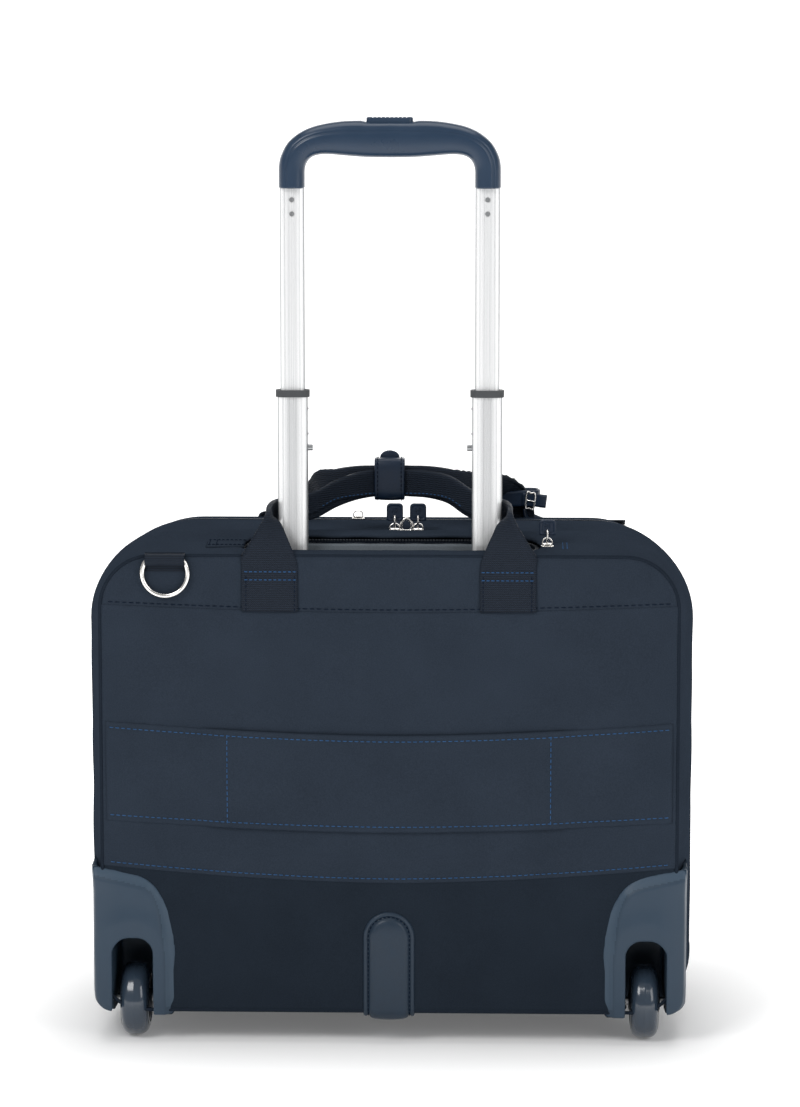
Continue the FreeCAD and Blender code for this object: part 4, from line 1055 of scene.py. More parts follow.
front_right = flipped(front_left)
front_left[3:7] = [
    ((-STRAP_IN, 88.0, 361.5), (-104.0, 90.0, 361.5), (0, -1, 0.2), 1),
    ((-62.5, 80.0, 366.0), (-92.0, 85.0, 364.6), (0.2, -0.8, 0.5), 4),
    ((-60.5, 66.0, 368.4), (-77.0, 70.0, 372.5), (0.3, -0.7, 0.5), 8),
    ((-57.0, 48.0, 371.5), (-66.0, 50.0, 389), (0.2, -1, 0.2), 13)]

hand_blue, hand_quiet = Batch(), Batch()
for place, halves in (("rear", (rear_left, rear_right)), ("front", (front_left, front_right))):
    strap = Batch()
    facing = -1 if place == "rear" else 1
    for half in halves:
        rows = strap_sections(half, 120)
        verts, faces, surface, normal = webbing_mesh(strap_surface(rows))
        strap.add(verts, faces)
        # two close lines of stitches along the open edges of the folded part
        open_rows = rows[(np.abs(rows[:, 0]) < 50) & (np.abs(rows[:, 0]) > 9)]
        inner, fold = open_rows[:, :3], open_rows[:, 3:6]
        line = inner + unit(fold - inner) * 3.0
        line[:, 1] += facing * WEB_THICK * 0.62
        if len(line) > 3:
            stitch_row(hand_blue, line, np.broadcast_to([0, facing, 0], line.shape), 3.6, 2.4, 0.3)
    piece = strap.build(f"{place}_webbing", "webbing", "case", "webbing", [f"{place}_carry_strap"])
    # anchor stitching: a box of blue rows, and quiet rows along both selvages
    y = (REAR_WALL - 0.55) if place == "rear" else (FRONT_WALL + 0.55)
    normal = np.array([0.0, facing, 0.0])
    for side in (-1, 1):
        low_x, high_x = side * (STRAP_IN + 3.2), side * (STRAP_OUT - 3.2)
        for height in (FOOT + 28.2, FOOT + 22.4):
            span = np.linspace(low_x, high_x, 20)
            row_on(hand_blue, np.stack([span, np.full(20, y), np.full(20, height)], 1), normal, pitch=3.4,
                   length=2.6, radius=0.36)
        for x in (low_x, high_x):
            rise = np.linspace(FOOT + 1, FOOT + 24, 12)
            row_on(hand_quiet, np.stack([np.full(12, x), np.full(12, y), rise], 1), normal,
                   pitch=3.4, length=2.5,
                   radius=0.3)
hand_blue.build("webbing_stitches", "thread", "case", "webbing")
hand_quiet.build("webbing_edge_stitches", "quiet_thread", "case", "webbing")

# ---- leather wrap round both handles

WRAP_LOW, WRAP_HIGH = corners("handle_wrap")
wrap_middle = (WRAP_LOW + WRAP_HIGH) / 2
wrap_size = (WRAP_HIGH - WRAP_LOW) / 2


def rounded_ring(half_a, half_b, radius, count):
    """Points round a rounded rectangle, starting at the middle of its top edge."""
    t = np.linspace(0, 2 * math.pi, 400, endpoint=False)
    p = 2.6 + 3.0 * min(half_a, half_b) / (radius + 1e-6) * 0.3
    a = half_a * np.sign(np.sin(t)) * np.abs(np.sin(t)) ** (2 / p)
    b = half_b * np.sign(np.cos(t)) * np.abs(np.cos(t)) ** (2 / p)
    return resampled(np.stack([a, b], 1), 2 * (half_a + half_b) * 1.8 / count, closed=True)


def leather_wrap():
    """Leather sleeve that holds both handles together, with its tab and stitches."""
    loop = rounded_ring(wrap_size[1], wrap_size[2], 5.0, 80)
    xs = np.array([-1, -0.97, -0.9, -0.8, -0.74, -0.66, -0.3, 0, 0.3, 0.66, 0.74, 0.8, 0.9, 0.97, 1])
    proud = np.array([-1.2, -0.3, 0.1, -0.05, -0.35, 0.05, 0.3, 0.4, 0.3, 0.05, -0.35, -0.05, 0.1,
                      -0.3, -1.2])
    out = unit(np.stack([loop[:, 0] / wrap_size[1] ** 2, loop[:, 1] / wrap_size[2] ** 2], 1))
    points = np.array([[(wrap_middle[0] + x * wrap_size[0], wrap_middle[1] + p[0] + n[0] * h,
                         wrap_middle[2] + p[1] + n[1] * h) for p, n in zip(loop, out)]
                       for x, h in zip(xs, proud)])
    piece = grid_object("wrap_leather", points, wrap=True)
    piece.data.flip_normals()
    thicken(piece, 1.5)
    finish_piece(piece, "leather", "case", ["handle_wrap"])
    subdivide(piece, 1)
    rows = Batch()
    for side in (-1, 1):
        line = np.stack([np.full(len(loop), wrap_middle[0] + side * wrap_size[0] * 0.77),
                         wrap_middle[1] + loop[:, 0] + out[:, 0] * 0.25,
                         wrap_middle[2] + loop[:, 1] + out[:, 1] * 0.25], 1)
        normal = np.stack([np.zeros(len(loop)), out[:, 0], out[:, 1]], 1)
        stitch_row(rows, line, normal, 3.2, 2.3, 0.3, closed=True)
    # the overlapping end of the wrap: a rounded tab that stands up behind the handles
    tab = Batch()
    edge = [(7.2 * math.sin(a), 6.5 + 5.2 * math.cos(a)) for a in np.linspace(-math.pi / 2, math.pi / 2, 15)]
    edge = [(7.2, -6)] + edge[::-1] + [(-7.2, -6)]
    thick = (1.3, -1.3)
    verts = [(wrap_middle[0] + u * s, wrap_middle[1] + 3.0 + t, WRAP_HIGH[2] - 6.6 + v * s + (1 - s) * 2)
             for t, s in ((thick[0] / 2 + 0.4, 0.9), (thick[0] / 2, 1.0), (thick[1] / 2, 1.0),
                          (thick[1] / 2 - 0.4, 0.9))
             for u, v in edge]
    tab.add(verts, tube_faces(4, len(edge)))
    tab.build("wrap_tab", "leather", "case", "leather")
    rows.build("wrap_stitches", "quiet_thread", "case", "leather")


def subdivide(piece, levels):
    smooth = piece.modifiers.new("soft", "SUBSURF")
    smooth.levels = smooth.render_levels = levels
    return piece


leather_wrap()

# ---- name tag: strap with a buckle round the right riser, and the tag in front

TAG_LOW, TAG_HIGH = corners("name_tag")


def name_tag():
    """Strap with a buckle round the right riser, its hanger and the plain tag."""
    tag = Batch()
    x0, x1 = TAG_LOW[0] + 1, TAG_LOW[0] + 46
    y0, y1 = TAG_LOW[1] + 1.0, TAG_HIGH[1] - 1.0
    loop = np.array([(x0 + 5, y0, 0), (x1 - 6, y0, 0), (x1, y0 + 5, 0), (x1, y1 - 5, 0), (x1 - 6, y1, 0),
                     (x0 + 5, y1, 0), (x0, y1 - 5, 0), (x0, y0 + 5, 0)])
    path = resampled(spline(loop, 160, closed=True), 3.0, closed=True)
    path[:, 2] = TAG_HIGH[2] - 6.0 + 1.6 * np.sin((path[:, 0] - x0) / (x1 - x0) * 2.4 - 0.6)
    up = Z_AXIS
    tag.add(*sweep(path, flat_section(11.0, 1.7, 8, 0.3), up, closed=True))
    # free end past the buckle
    free = spline(np.array([(x1 - 12, y0 - 1.6, TAG_HIGH[2] - 5.2), (x1 - 2, y0 - 2.4, TAG_HIGH[2] - 5.6),
                            (x1 + 2, y0 - 2.2, TAG_HIGH[2] - 6.2),
                            (x1 + 6, y0 - 0.8, TAG_HIGH[2] - 6.8)]), 16)
    tag.add(*sweep(free, flat_section(9.0, 1.5, 8, 0.3), up))
    # hanger and the tag itself
    mid = (TAG_LOW[0] + TAG_HIGH[0]) / 2 + 24
    hang = spline(np.array([(x1 - 10, 88.0, TAG_HIGH[2] - 12), (x1 - 7, 91, TAG_HIGH[2] - 20),
                            (mid - 9, 93, TAG_HIGH[2] - 27),
                            (mid, 93.2, TAG_HIGH[2] - 33)]), 20)
    tag.add(*sweep(hang, flat_section(9.0, 1.6, 8, 0.3), np.array([0.35, 1.0, 0.6])))
    half, low, high = 14.0, TAG_LOW[2] + 1, TAG_HIGH[2] - 26
    edge = []
    for cx, cz, a0 in ((half - 5, low + 5, -90), (half - 5, high - 8, 0), (-half + 5, high - 8, 90),
                       (-half + 5, low + 5, 180)):
        edge += [(cx + 5 * math.cos(math.radians(a0 + k * 15)), cz + 5 * math.sin(math.radians(a0 + k * 15)))
                 for k in range(7)]
    rings = [(0.0, 0.93), (0.7, 1.0), (1.9, 1.0), (2.5, 0.95), (2.2, 0.86), (2.5, 0.80)]
    centre_z = (low + high) / 2
    verts = [(mid + u * s, 91.6 + d, centre_z + (v - centre_z) * (1 - (1 - s) * half / ((high - low) / 2)))
             for d, s in rings for u, v in edge]
    tag.add(verts, tube_faces(len(rings), len(edge)))
    tag.build("name_tag_leather", "leather", "case", "leather", ["name_tag"])
    buckle = Batch()
    frame_path = np.array([(0, -5.6), (3.1, -5.6), (3.1, 5.6), (0, 5.6), (-3.1, 5.6), (-3.1, -5.6)])
    ring = resampled(spline(frame_path, 80, closed=True), 1.0, closed=True)
    lean = math.radians(16)
    points = [(x1 - 6 + math.cos(lean) * a + math.sin(lean) * b * 0.4, y0 - 3.2,
               TAG_HIGH[2] - 6 + b - a * 0.2) for a, b in ring]
    buckle.add(*sweep(points, round_section(0.7, 8), Y_AXIS, closed=True))
    prong = spline(np.array([(x1 - 9, y0 - 3.0, TAG_HIGH[2] - 5.4), (x1 - 6, y0 - 4.2, TAG_HIGH[2] - 5.9),
                             (x1 - 2.6, y0 - 3.6, TAG_HIGH[2] - 6.6)]), 12)
    buckle.add(*sweep(prong, round_section(0.6, 8), Y_AXIS))
    buckle.build("tag_buckle", "nickel", "case", "bright_metal")


name_tag()

# ---- ring tabs: folded cloth that holds each carry ring


def ring_tab(place, sign):
    """Folded tab and the carry ring that it holds; sign is the face's side along Y."""
    low, high = corners(f"ring_tab_{place}")
    wire_low, wire_high = corners(f"ring_{place}")
    bar = wire_high[2] - 2.0
    bar_y = (wire_low[1] + wire_high[1]) / 2
    wall_y = BACK if sign < 0 else FRONT
    wrap_r = 3.6 if sign < 0 else 2.9
    top = min(high[2] - 1.0, bar + wrap_r + 1.6)
    profile = [(wall_y + sign * 0.7, top), (wall_y + sign * 1.2, bar + wrap_r + 0.7)]
    profile += [(bar_y + sign * wrap_r * math.sin(a), bar + wrap_r * math.cos(a))
                for a in np.linspace(0.2, math.pi, 9)]
    profile += [(wall_y + sign * 0.6, bar - wrap_r - 0.4), (wall_y + sign * 0.6, bar - wrap_r - 5.0)]
    line = spline(np.array(profile), 40)
    xs = np.linspace(low[0] - 1.8, high[0] + 1.8, 16)
    points = np.array([[(x, p[0], p[1]) for x in xs] for p in line])
    piece = grid_object(f"ring_tab_{place}_cloth", points)
    if sign > 0:
        piece.data.flip_normals()
    thicken(piece, 1.2, 0.0)
    finish_piece(piece, "webbing", "case", [f"ring_tab_{place}"])
    # the ring itself: a round bow closed by a bar inside the tab
    wire = 1.75
    middle = (wire_low[0] + wire_high[0]) / 2
    bow = (wire_high[0] - wire_low[0]) / 2 - wire
    centre = wire_low[2] + wire + bow
    start = math.asin((bar - centre) / bow) - 0.16
    turn = np.linspace(start, -math.pi - start, 60)
    path = [(middle + bow * math.cos(a), bar_y, centre + bow * math.sin(a)) for a in turn]
    reach = bow * math.cos(start) - 2.6
    path += [(middle + x, bar_y, bar) for x in np.linspace(-reach, reach, 9)]
    path = resampled(spline(np.array(path), 400, closed=True), 0.8, closed=True)
    made = Batch()
    made.add(*sweep(path, round_section(wire, 14), Y_AXIS, closed=True))
    made.build(f"ring_{place}_wire", "nickel", f"ring_{place}", "bright_metal", [f"ring_{place}"])


ring_tab("rear", -1)
ring_tab("front", 1)


# ------------------------------------------------------------------------ corner guards

def remeshed(name, node, voxel, passes):
    """Copy of a CAD node's mesh as an even, rounded grid that can be shaped."""
    mesh = NODES[node].data.copy()
    mesh.name = name
    made = bpy.data.objects.new(name, mesh)
    bpy.context.scene.collection.objects.link(made)
    step = made.modifiers.new("even", "REMESH")
    step.mode = "VOXEL"
    step.voxel_size = voxel * MM
    step.use_smooth_shade = True
    apply_modifiers(made)
    relax(made, passes)
    return made


def apply_modifiers(piece):
    graph = bpy.context.evaluated_depsgraph_get()
    done = bpy.data.meshes.new_from_object(piece.evaluated_get(graph))
    piece.modifiers.clear()
    old, piece.data = piece.data, done
    bpy.data.meshes.remove(old)


def get_points(piece):
    data = np.empty(len(piece.data.vertices) * 3)
    piece.data.vertices.foreach_get("co", data)
    return data.reshape(-1, 3) / MM


def set_points(piece, points):
    piece.data.vertices.foreach_set("co", (points * MM).ravel())
    piece.data.update()


def relax(piece, passes, weight=0.5):
    """Laplacian smoothing, with a push back that keeps the volume."""
    points = get_points(piece)
    ends = np.empty(len(piece.data.edges) * 2, int)
    piece.data.edges.foreach_get("vertices", ends)
    a, b = ends[::2], ends[1::2]
    degree = np.bincount(ends, minlength=len(points))[:, None].astype(float)
    for step in range(2 * passes):
        total = np.zeros_like(points)
        np.add.at(total, a, points[b])
        np.add.at(total, b, points[a])
        mean = total / np.maximum(degree, 1)
        points += (mean - points) * (weight if step % 2 == 0 else -weight * 1.04)
    set_points(piece, points)


def polyline_distance(x, z, line):
    best = np.full(np.shape(x), 1e9)
    for (ax, az), (bx, bz) in zip(line[:-1], line[1:]):
        dx, dz = bx - ax, bz - az
        t = np.clip(((x - ax) * dx + (z - az) * dz) / (dx * dx + dz * dz), 0, 1)
        best = np.minimum(best, np.hypot(x - ax - t * dx, z - az - t * dz))
    return best


def smoothstep(value, low, high):
    t = np.clip((value - low) / (high - low), 0, 1)
    return t * t * (3 - 2 * t)


WHEEL_LOW, WHEEL_HIGH = corners("tyre_right")
AXLE = (WHEEL_LOW + WHEEL_HIGH) / 2
TYRE_R = (WHEEL_HIGH[2] - WHEEL_LOW[2]) / 2


def corner_guard(name):
    """Wheel housing: the CAD solid remeshed, then crowned, chamfered and rounded."""
    piece = remeshed(f"{name}_moulding", name, 1.0, 3)
    points = get_points(piece)
    x, y, z = np.abs(points[:, 0]), points[:, 1], points[:, 2]
    low, high = corners(name)
    inner_x = min(abs(low[0]), abs(high[0]))
    rim = [(225, 133.5), (200, 127.8), (180, 123.3), (172, 120.6), (166, 115.5), (161.5, 107.5), (158.6, 98),
           (157.2, 88), (156, 75), (inner_x, 60), (inner_x, 18)]
    d = polyline_distance(x, z, rim)
    rear = smoothstep(-y, -BACK - 0.5, -BACK + 1.2)
    # the face is crowned, with a chamfer beside its inner and upper edge
    chamfer_depth, chamfer_width, painted_highlight_width = 3.5, 8.0, 7.2
    crown = 1.6 * smoothstep(d, 3.0, 9.5) + 0.5 * smoothstep(d, 12, 40)
    arch = np.hypot(x - AXLE[0], (z - (AXLE[2] + 34)) * 0.9) - 26
    brow = 1.7 * np.exp(-(arch / 7.5) ** 2) * smoothstep(z, AXLE[2] + 26, AXLE[2] + 44)
    chamfer = -chamfer_depth * np.clip(1 - d / chamfer_width, 0, 1)
    points[:, 1] -= rear * (crown + brow + chamfer)
    # outer lower corner rounds away under the case
    under = smoothstep(z, low[2] + 16, low[2]) * rear
    points[:, 1] += under * 2.6
    # the outer leg reaches down past the case's round lower corner, and is rounded there itself:
    # it stands out by skin, turns on the radius tight, and begins at the height start
    half, floor_z = np.polyval(HALF, y), np.polyval(LOW, y)
    skin, tight, start = 5.0, 11.0, 66.0
    past = np.clip(x - half + LOW_ROUND, 0, LOW_ROUND + skin - 0.4)
    edge_now = floor_z + LOW_ROUND - np.sqrt((LOW_ROUND + skin) ** 2 - past ** 2)
    over = np.clip(x - half - skin + tight, 0, tight - 0.4)
    edge_new = low[2] + 3.0 * smoothstep(-y, -BACK - 18, -BACK) + tight - np.sqrt(tight ** 2 - over ** 2)
    share = np.clip((start - z) / (start - edge_now), 0, 1) * (x > 190)
    wide, deep = x, np.maximum(z + (edge_new - edge_now) * share, low[2])
    # the inner leg ends in a round toe
    toe = 8.0
    inward, drop = np.maximum(inner_x + toe - wide, 0), np.maximum(low[2] + toe - deep, 0)
    beyond = np.maximum(np.hypot(inward, drop) / toe, 1)
    wide, deep = wide + inward * (1 - 1 / beyond), deep + drop * (1 - 1 / beyond)
    points[:, 0], points[:, 2] = np.sign(points[:, 0]) * wide, deep
    # the upright outer edge rolls round onto the case's side
    roll_width, roll_depth = 15, 6.0
    roll = np.clip((x - half - skin + roll_width) / roll_width, 0, 1) ** 2
    points[:, 1] += roll_depth * roll * np.clip(1 - (y - BACK) / 22, 0, 1) * smoothstep(z, 130, 108)
    # the side wall runs straight forward until the fuller cloth of the case covers it
    wall_out = 5.5
    side_wall = half.min() + skin + wall_out
    spread = 4.0 * smoothstep(x, 196, 209) * (1 - smoothstep(y, BACK, BACK + 30))
    points[:, 0] = np.sign(points[:, 0]) * np.minimum(np.abs(points[:, 0]) + spread, side_wall)
    set_points(piece, points)
    relax(piece, 2)
    piece.data.polygons.foreach_set("use_smooth", [True] * len(piece.data.polygons))
    # painted highlight: faces on the chamfered rim get a lighter copy of the plastic, standing in for the
    # light that the chamfer catches
    points = get_points(piece)
    rim_x, rim_z = np.abs(points[:, 0]), points[:, 2]
    in_painted_highlight = (polyline_distance(rim_x, rim_z, rim) < painted_highlight_width) & (points[:, 1] < BACK + 1.5) & (rim_z > 26)
    finish_piece(piece, "guard", "case", [name])
    piece.data.materials.append(PALETTE["guard_painted_highlight_rim"])
    for face in piece.data.polygons:
        face.material_index = int(all(in_painted_highlight[v] for v in face.vertices))


corner_guard("corner_guard_left")
corner_guard("corner_guard_right")


# ------------------------------------------------------------------------ wheels

def lathe(profile, centre, sides, ends="capped"):
    """Solid turned about the X axis through a centre; the profile is (x, radius) pairs."""
    angles = np.arange(sides) * 2 * math.pi / sides
    points = np.array([[(centre[0] + px, centre[1] + r * math.cos(a), centre[2] + r * math.sin(a))
                        for a in angles] for px, r in profile])
    rows, cols = points.shape[:2]
    return points.reshape(-1, 3), tube_faces(rows, cols, ends)


def rounded_profile(points, steps=6):
    """Profile with each (x, r, round) corner turned into an arc."""
    made = []
    for k, (x, r, rounding) in enumerate(points):
        here = np.array([x, r], float)
        if rounding <= 0 or k in (0, len(points) - 1):
            made.append(tuple(here))
            continue
        before, after = np.array(points[k - 1][:2], float), np.array(points[k + 1][:2], float)
        a, b = unit(before - here), unit(after - here)
        half = math.acos(float(np.clip(np.dot(a, b), -1, 1))) / 2
        reach = rounding / math.tan(half)
        centre = here + unit(a + b) * rounding / math.sin(half)
        start, stop = here + a * reach, here + b * reach
        t0 = math.atan2(*(start - centre)[::-1])
        t1 = math.atan2(*(stop - centre)[::-1])
        turn = (t1 - t0 + math.pi) % (2 * math.pi) - math.pi
        made += [(centre[0] + rounding * math.cos(t0 + turn * s),
                  centre[1] + rounding * math.sin(t0 + turn * s))
                 for s in np.linspace(0, 1, steps + 1)]
    return made


TYRE_SIDES, RIM_SIDES, BOSS_SIDES, SPOKES = 128, 96, 64, 6


def wheel(side):
    """Tyre with a mould line, and a spoked hub."""
    body = f"wheel_{side}"
    centre = AXLE * np.array([-1 if side == "left" else 1, 1, 1])
    half = (WHEEL_HIGH[0] - WHEEL_LOW[0]) / 2
    # urethane tyre with a mould line round its middle
    corners_list = [(-8, 17, 0), (-half, 17.6, 0.8), (-half + 0.6, 20.5, 1.2),
                    (-half + 0.2, TYRE_R - 1.2, 7.2),
                    (-0.5, TYRE_R, 0), (0, TYRE_R + 0.12, 0), (0.5, TYRE_R, 0),
                    (half - 0.2, TYRE_R - 1.2, 7.2),
                    (half - 0.6, 20.5, 1.2), (half, 17.6, 0.8), (8, 17, 0)]
    tyre = Batch()
    tyre.add(*lathe(rounded_profile(corners_list, 9), centre, TYRE_SIDES, "joined"))
    tyre.build(f"tyre_{side}_urethane", "tyre", body, "tyre", [f"tyre_{side}"])
    hub = Batch()
    rim = [(-8, 14.2, 0), (-9.6, 14.8, 0.5), (-9.8, 17.2, 0.5), (9.8, 17.2, 0.5), (9.6, 14.8, 0.5),
           (8, 14.2, 0)]
    hub.add(*lathe(rounded_profile(rim), centre, RIM_SIDES, "joined"))
    boss = rounded_profile([(-11.4, 3.2, 0), (-11.4, 6.6, 1.0), (-7.5, 7.4, 0.6), (7.5, 7.4, 0.6),
                            (11.4, 6.6, 1.0),
                            (11.4, 3.2, 0)])
    hub.add(*lathe(boss, centre, BOSS_SIDES))
    for k in range(SPOKES):
        a = k * math.pi / 3
        way = np.array([0, math.cos(a), math.sin(a)])
        path = centre + np.outer([6.0, 10.5, 15.2], way)
        hub.add(*sweep(path, [(-6.5, -1.4), (6.5, -1.4), (7.0, 0), (6.5, 1.4), (-6.5, 1.4), (-7.0, 0)],
                       X_AXIS, sizes=[1.0, 1.0, 1.05]))
    web = rounded_profile([(-2.2, 5.0, 0), (-2.2, 15.0, 0), (2.2, 15.0, 0), (2.2, 5.0, 0)])
    hub.add(*lathe(web, centre, BOSS_SIDES, "open"))
    hub.build(f"hub_{side}_moulding", "hub", body, "hub_plastic", [f"hub_{side}"])


for side_name in ("left", "right"):
    wheel(side_name)


# ------------------------------------------------------------------------ kick pad

def recalc(piece):
    """Makes the faces point outwards, whichever way they were wound."""
    work = bmesh.new()
    work.from_mesh(piece.data)
    bmesh.ops.recalc_face_normals(work, faces=work.faces)
    work.to_mesh(piece.data)
    work.free()
    piece.data.update()


def kick_pad():
    """Padded leather strip up the middle of the back's foot, with a stitched channel."""
    low, high = corners("kick_pad")
    half = high[0]
    under_y = high[1]
    corner_z, corner_y = np.polyval(LOW, BACK) - 2.0, BACK - 0.2
    base = np.array([(under_y - 1, corner_z - 1.6), (corner_y + 9, corner_z - 0.6),
                     (corner_y + 2.2, corner_z + 0.4),
                     (corner_y + 0.4, corner_z + 2.6), (corner_y, corner_z + 8), (corner_y, high[2] - half)])
    leg = resampled(spline(base, 120), 1.8)
    leg_n = directions(leg)
    leg_out = np.stack([leg_n[:, 1] * -1, leg_n[:, 0]], 1)        # to the back and down
    top = leg[-1]
    # rings inside the outline: flange, stitched channel, then the padded middle
    inset = np.array([-0.2, 0.0, 0.5, 1.4, 2.4, 3.0, 3.5, 4.0, 4.6, 5.4, 6.5, 8.5, 11, 14, 15.8, half - 1.2])
    height = np.array([0.1, 0.9, 1.9, 2.4, 2.3, 1.7, 1.25, 1.4, 2.4, 3.2, 3.8, 4.3, 4.6, 4.8, 4.9, 4.9])
    arc = np.linspace(0, math.pi, 40)[1:-1]
    rows = []
    for d, h in zip(inset, height):
        x = half - d
        left = [(-x, p[0] + o[0] * h, p[1] + o[1] * h) for p, o in zip(leg, leg_out)]
        over = [(-x * math.cos(a), top[0] - h, top[1] + x * math.sin(a)) for a in arc]
        right = [(x, p[1], p[2]) for p in left[::-1]]
        rows.append(left + over + right)
    piece = grid_object("kick_pad_leather", np.array(rows))
    piece.data.flip_normals()
    bridge_middle(piece, len(rows), len(rows[0]))
    recalc(piece)
    finish_piece(piece, "pad", "case", ["kick_pad"])
    stitch_half, stitch_height = half - 3.6, 1.45
    line = [(-stitch_half, p[0] + o[0] * stitch_height, p[1] + o[1] * stitch_height)
            for p, o in zip(leg, leg_out)]
    over = [(-stitch_half * math.cos(a), top[0] - stitch_height, top[1] + stitch_half * math.sin(a))
            for a in arc]
    path = line + over + [(-a, b, c) for a, b, c in line[::-1]]
    outs = ([(0, o[0], o[1]) for o in leg_out] + [(0, -1, 0)] * len(over)
            + [(0, o[0], o[1]) for o in leg_out[::-1]])
    rows = Batch()
    stitch_row(rows, np.array(path), np.array(outs, float), 3.2, 2.3, 0.34)
    rows.build("kick_pad_stitches", "quiet_thread", "case", "leather")


def bridge_middle(piece, rows, cols):
    """Closes the seam down the middle where the innermost row meets itself."""
    mesh = piece.data
    points = get_points(piece)
    faces = [list(face.vertices) for face in mesh.polygons]
    start = (rows - 1) * cols
    faces += [[start + c, start + c + 1, start + cols - 2 - c, start + cols - 1 - c]
              for c in range(cols // 2 - 1)]
    fresh = bpy.data.meshes.new(mesh.name)
    fresh.from_pydata((points * MM).tolist(), [], faces)
    fresh.polygons.foreach_set("use_smooth", [True] * len(fresh.polygons))
    fresh.update()
    piece.data = fresh


kick_pad()


# ------------------------------------------------------------------------ grip

def grip():
    """Arched grip with its cover in one moulding: rounded sections along the arch."""
    low, high = corners("grip_body")
    cover_high = corners("grip_cover")[1][2]
    foot, leg_out = corners("upper_tubes")[1][2] - 0.2, high[0]
    # outer and inner line of the arch, left half, from the foot to the middle
    outer = np.array([(-leg_out, foot), (-leg_out, foot + 8), (-leg_out + 0.2, foot + 16),
                      (-leg_out + 1.7, foot + 22.5),
                      (-leg_out + 6.2, foot + 31), (-leg_out + 13.5, foot + 37.6), (-leg_out + 22, foot + 42),
                      (-leg_out + 32, foot + 44.8), (-leg_out + 46, foot + 46.8),
                      (-leg_out + 62, cover_high - 0.5),
                      (0, cover_high)])
    inner = np.array([(-leg_out + 18.4, foot), (-leg_out + 18.4, foot + 7), (-leg_out + 18.5, foot + 12),
                      (-leg_out + 19.4, foot + 16.2), (-leg_out + 21.6, foot + 19.6),
                      (-leg_out + 25, foot + 21.9),
                      (-leg_out + 30, foot + 23.0), (-leg_out + 37, foot + 23.1),
                      (-leg_out + 48, foot + 22.2),
                      (-leg_out + 62, foot + 21.2), (0, foot + 20.9)])
    depth = np.array([9.5, 9.5, 9.6, 9.8, 10.1, 10.5, 10.8, 11.0, 11.2, 11.4, 11.5])
    half = spline(np.hstack([outer, inner, depth[:, None]]), 90)
    mirror = half[::-1][1:].copy()
    mirror[:, [0, 2]] *= -1
    run = np.vstack([half, mirror])
    count = 88
    t = np.arange(count) * 2 * math.pi / count
    power = 2 / 2.5
    up = np.sign(np.cos(t)) * np.abs(np.cos(t)) ** power
    across = np.sign(np.sin(t)) * np.abs(np.sin(t)) ** power
    rings = []
    for ox, oz, ix, iz, deep in run:
        mid = np.array([(ox + ix) / 2, (oz + iz) / 2])
        reach = np.array([(ox - ix) / 2, (oz - iz) / 2])
        # crease between the cover and the body, a little under the outer surface
        crease = 0.75 * np.exp(-((up - 0.42) / 0.06) ** 2) * (np.abs(across) > 0.5)
        push = 1 - crease / deep
        x = mid[0] + reach[0] * up
        z = mid[1] + reach[1] * up
        y = SLOT_Y + deep * across * push * (1 - 0.045 * np.clip(up, 0, 1) ** 2)
        if abs(mid[0]) < 24:
            seat = np.clip(1 - abs(mid[0]) / 19, 0,
                           1) ** 0.3 * np.exp(-((y - SLOT_Y) / 7.4) ** 4) * (up > 0.6)
            z = z - 1.5 * seat
        rings.append(np.stack([x, y, z], 1))
    points = np.array(rings)
    for sign, index in ((1, 0), (-1, -1)):
        lip = points[index].copy()
        lip_in = lip.copy()
        centre = lip.mean(0)
        lip_in[:, :2] = centre[:2] + (lip[:, :2] - centre[:2]) * 0.93
        lip_in[:, 2] -= 0.7
        points = np.concatenate([[lip_in], points]) if sign == 1 else np.concatenate([points, [lip_in]])
    rows, cols = points.shape[:2]
    piece = mesh_object("grip_moulding", points.reshape(-1, 3), tube_faces(rows, cols))
    finish_piece(piece, "grip", "upper_stage", ["grip_body", "grip_cover"])
    recalc(piece)


grip()


# ------------------------------------------------------------------------ release bar

def release_rods():
    """Flat bars in the tubes, joined by a bent bar under the button."""
    low, high = corners("release_bar")
    leg, top = high[0] - 3.0, high[2]
    path = np.array([(-leg, low[2]), (-leg, low[2] + 60), (-leg, top - 42), (-leg + 1.5, top - 28),
                     (-leg + 9, top - 14),
                     (-leg + 24, top - 5.5), (-leg + 42, top - 2), (0, top - 2)])
    half = spline(path, 120)
    run = np.vstack([half, half[::-1][1:] * np.array([-1, 1])])
    bar = Batch()
    spine = np.column_stack([run[:, 0], np.full(len(run), SLOT_Y), run[:, 1]])
    bar.add(*sweep(spine, flat_section(4.4, 2.0, 6, 0), Y_AXIS))
    bar.build("release_rods", "steel", "release", "steel", ["release_bar"])


release_rods()


# ------------------------------------------------------------------------ handle zip and lining

def slot_outline(inset, step=2.1):
    """Line round the handle slot, with the directions away from it."""
    half, wide = SLOT_HALF - inset, SLOT_WIDE - inset
    turn = np.linspace(-math.pi / 2, math.pi / 2, 24)
    right = [(half - wide + wide * math.cos(a), SLOT_Y + wide * math.sin(a)) for a in turn]
    left = [(-x, 2 * SLOT_Y - y) for x, y in right]
    return resampled(np.array(right + left), step, closed=True)


def slot_z(line):
    """Height of the case's top at points round the slot."""
    return np.polyval(HIGH, line[:, 1]) + far_lift(line[:, 0], line[:, 1])


def ring_samples(line, count):
    """Evenly spaced places along a closed line, and its points there."""
    index = np.linspace(0, len(line), count, endpoint=False)
    at = np.arange(len(line) + 1)
    return index, np.stack([np.interp(index, at, np.append(line[:, k], line[0, k])) for k in (0, 1)], 1)


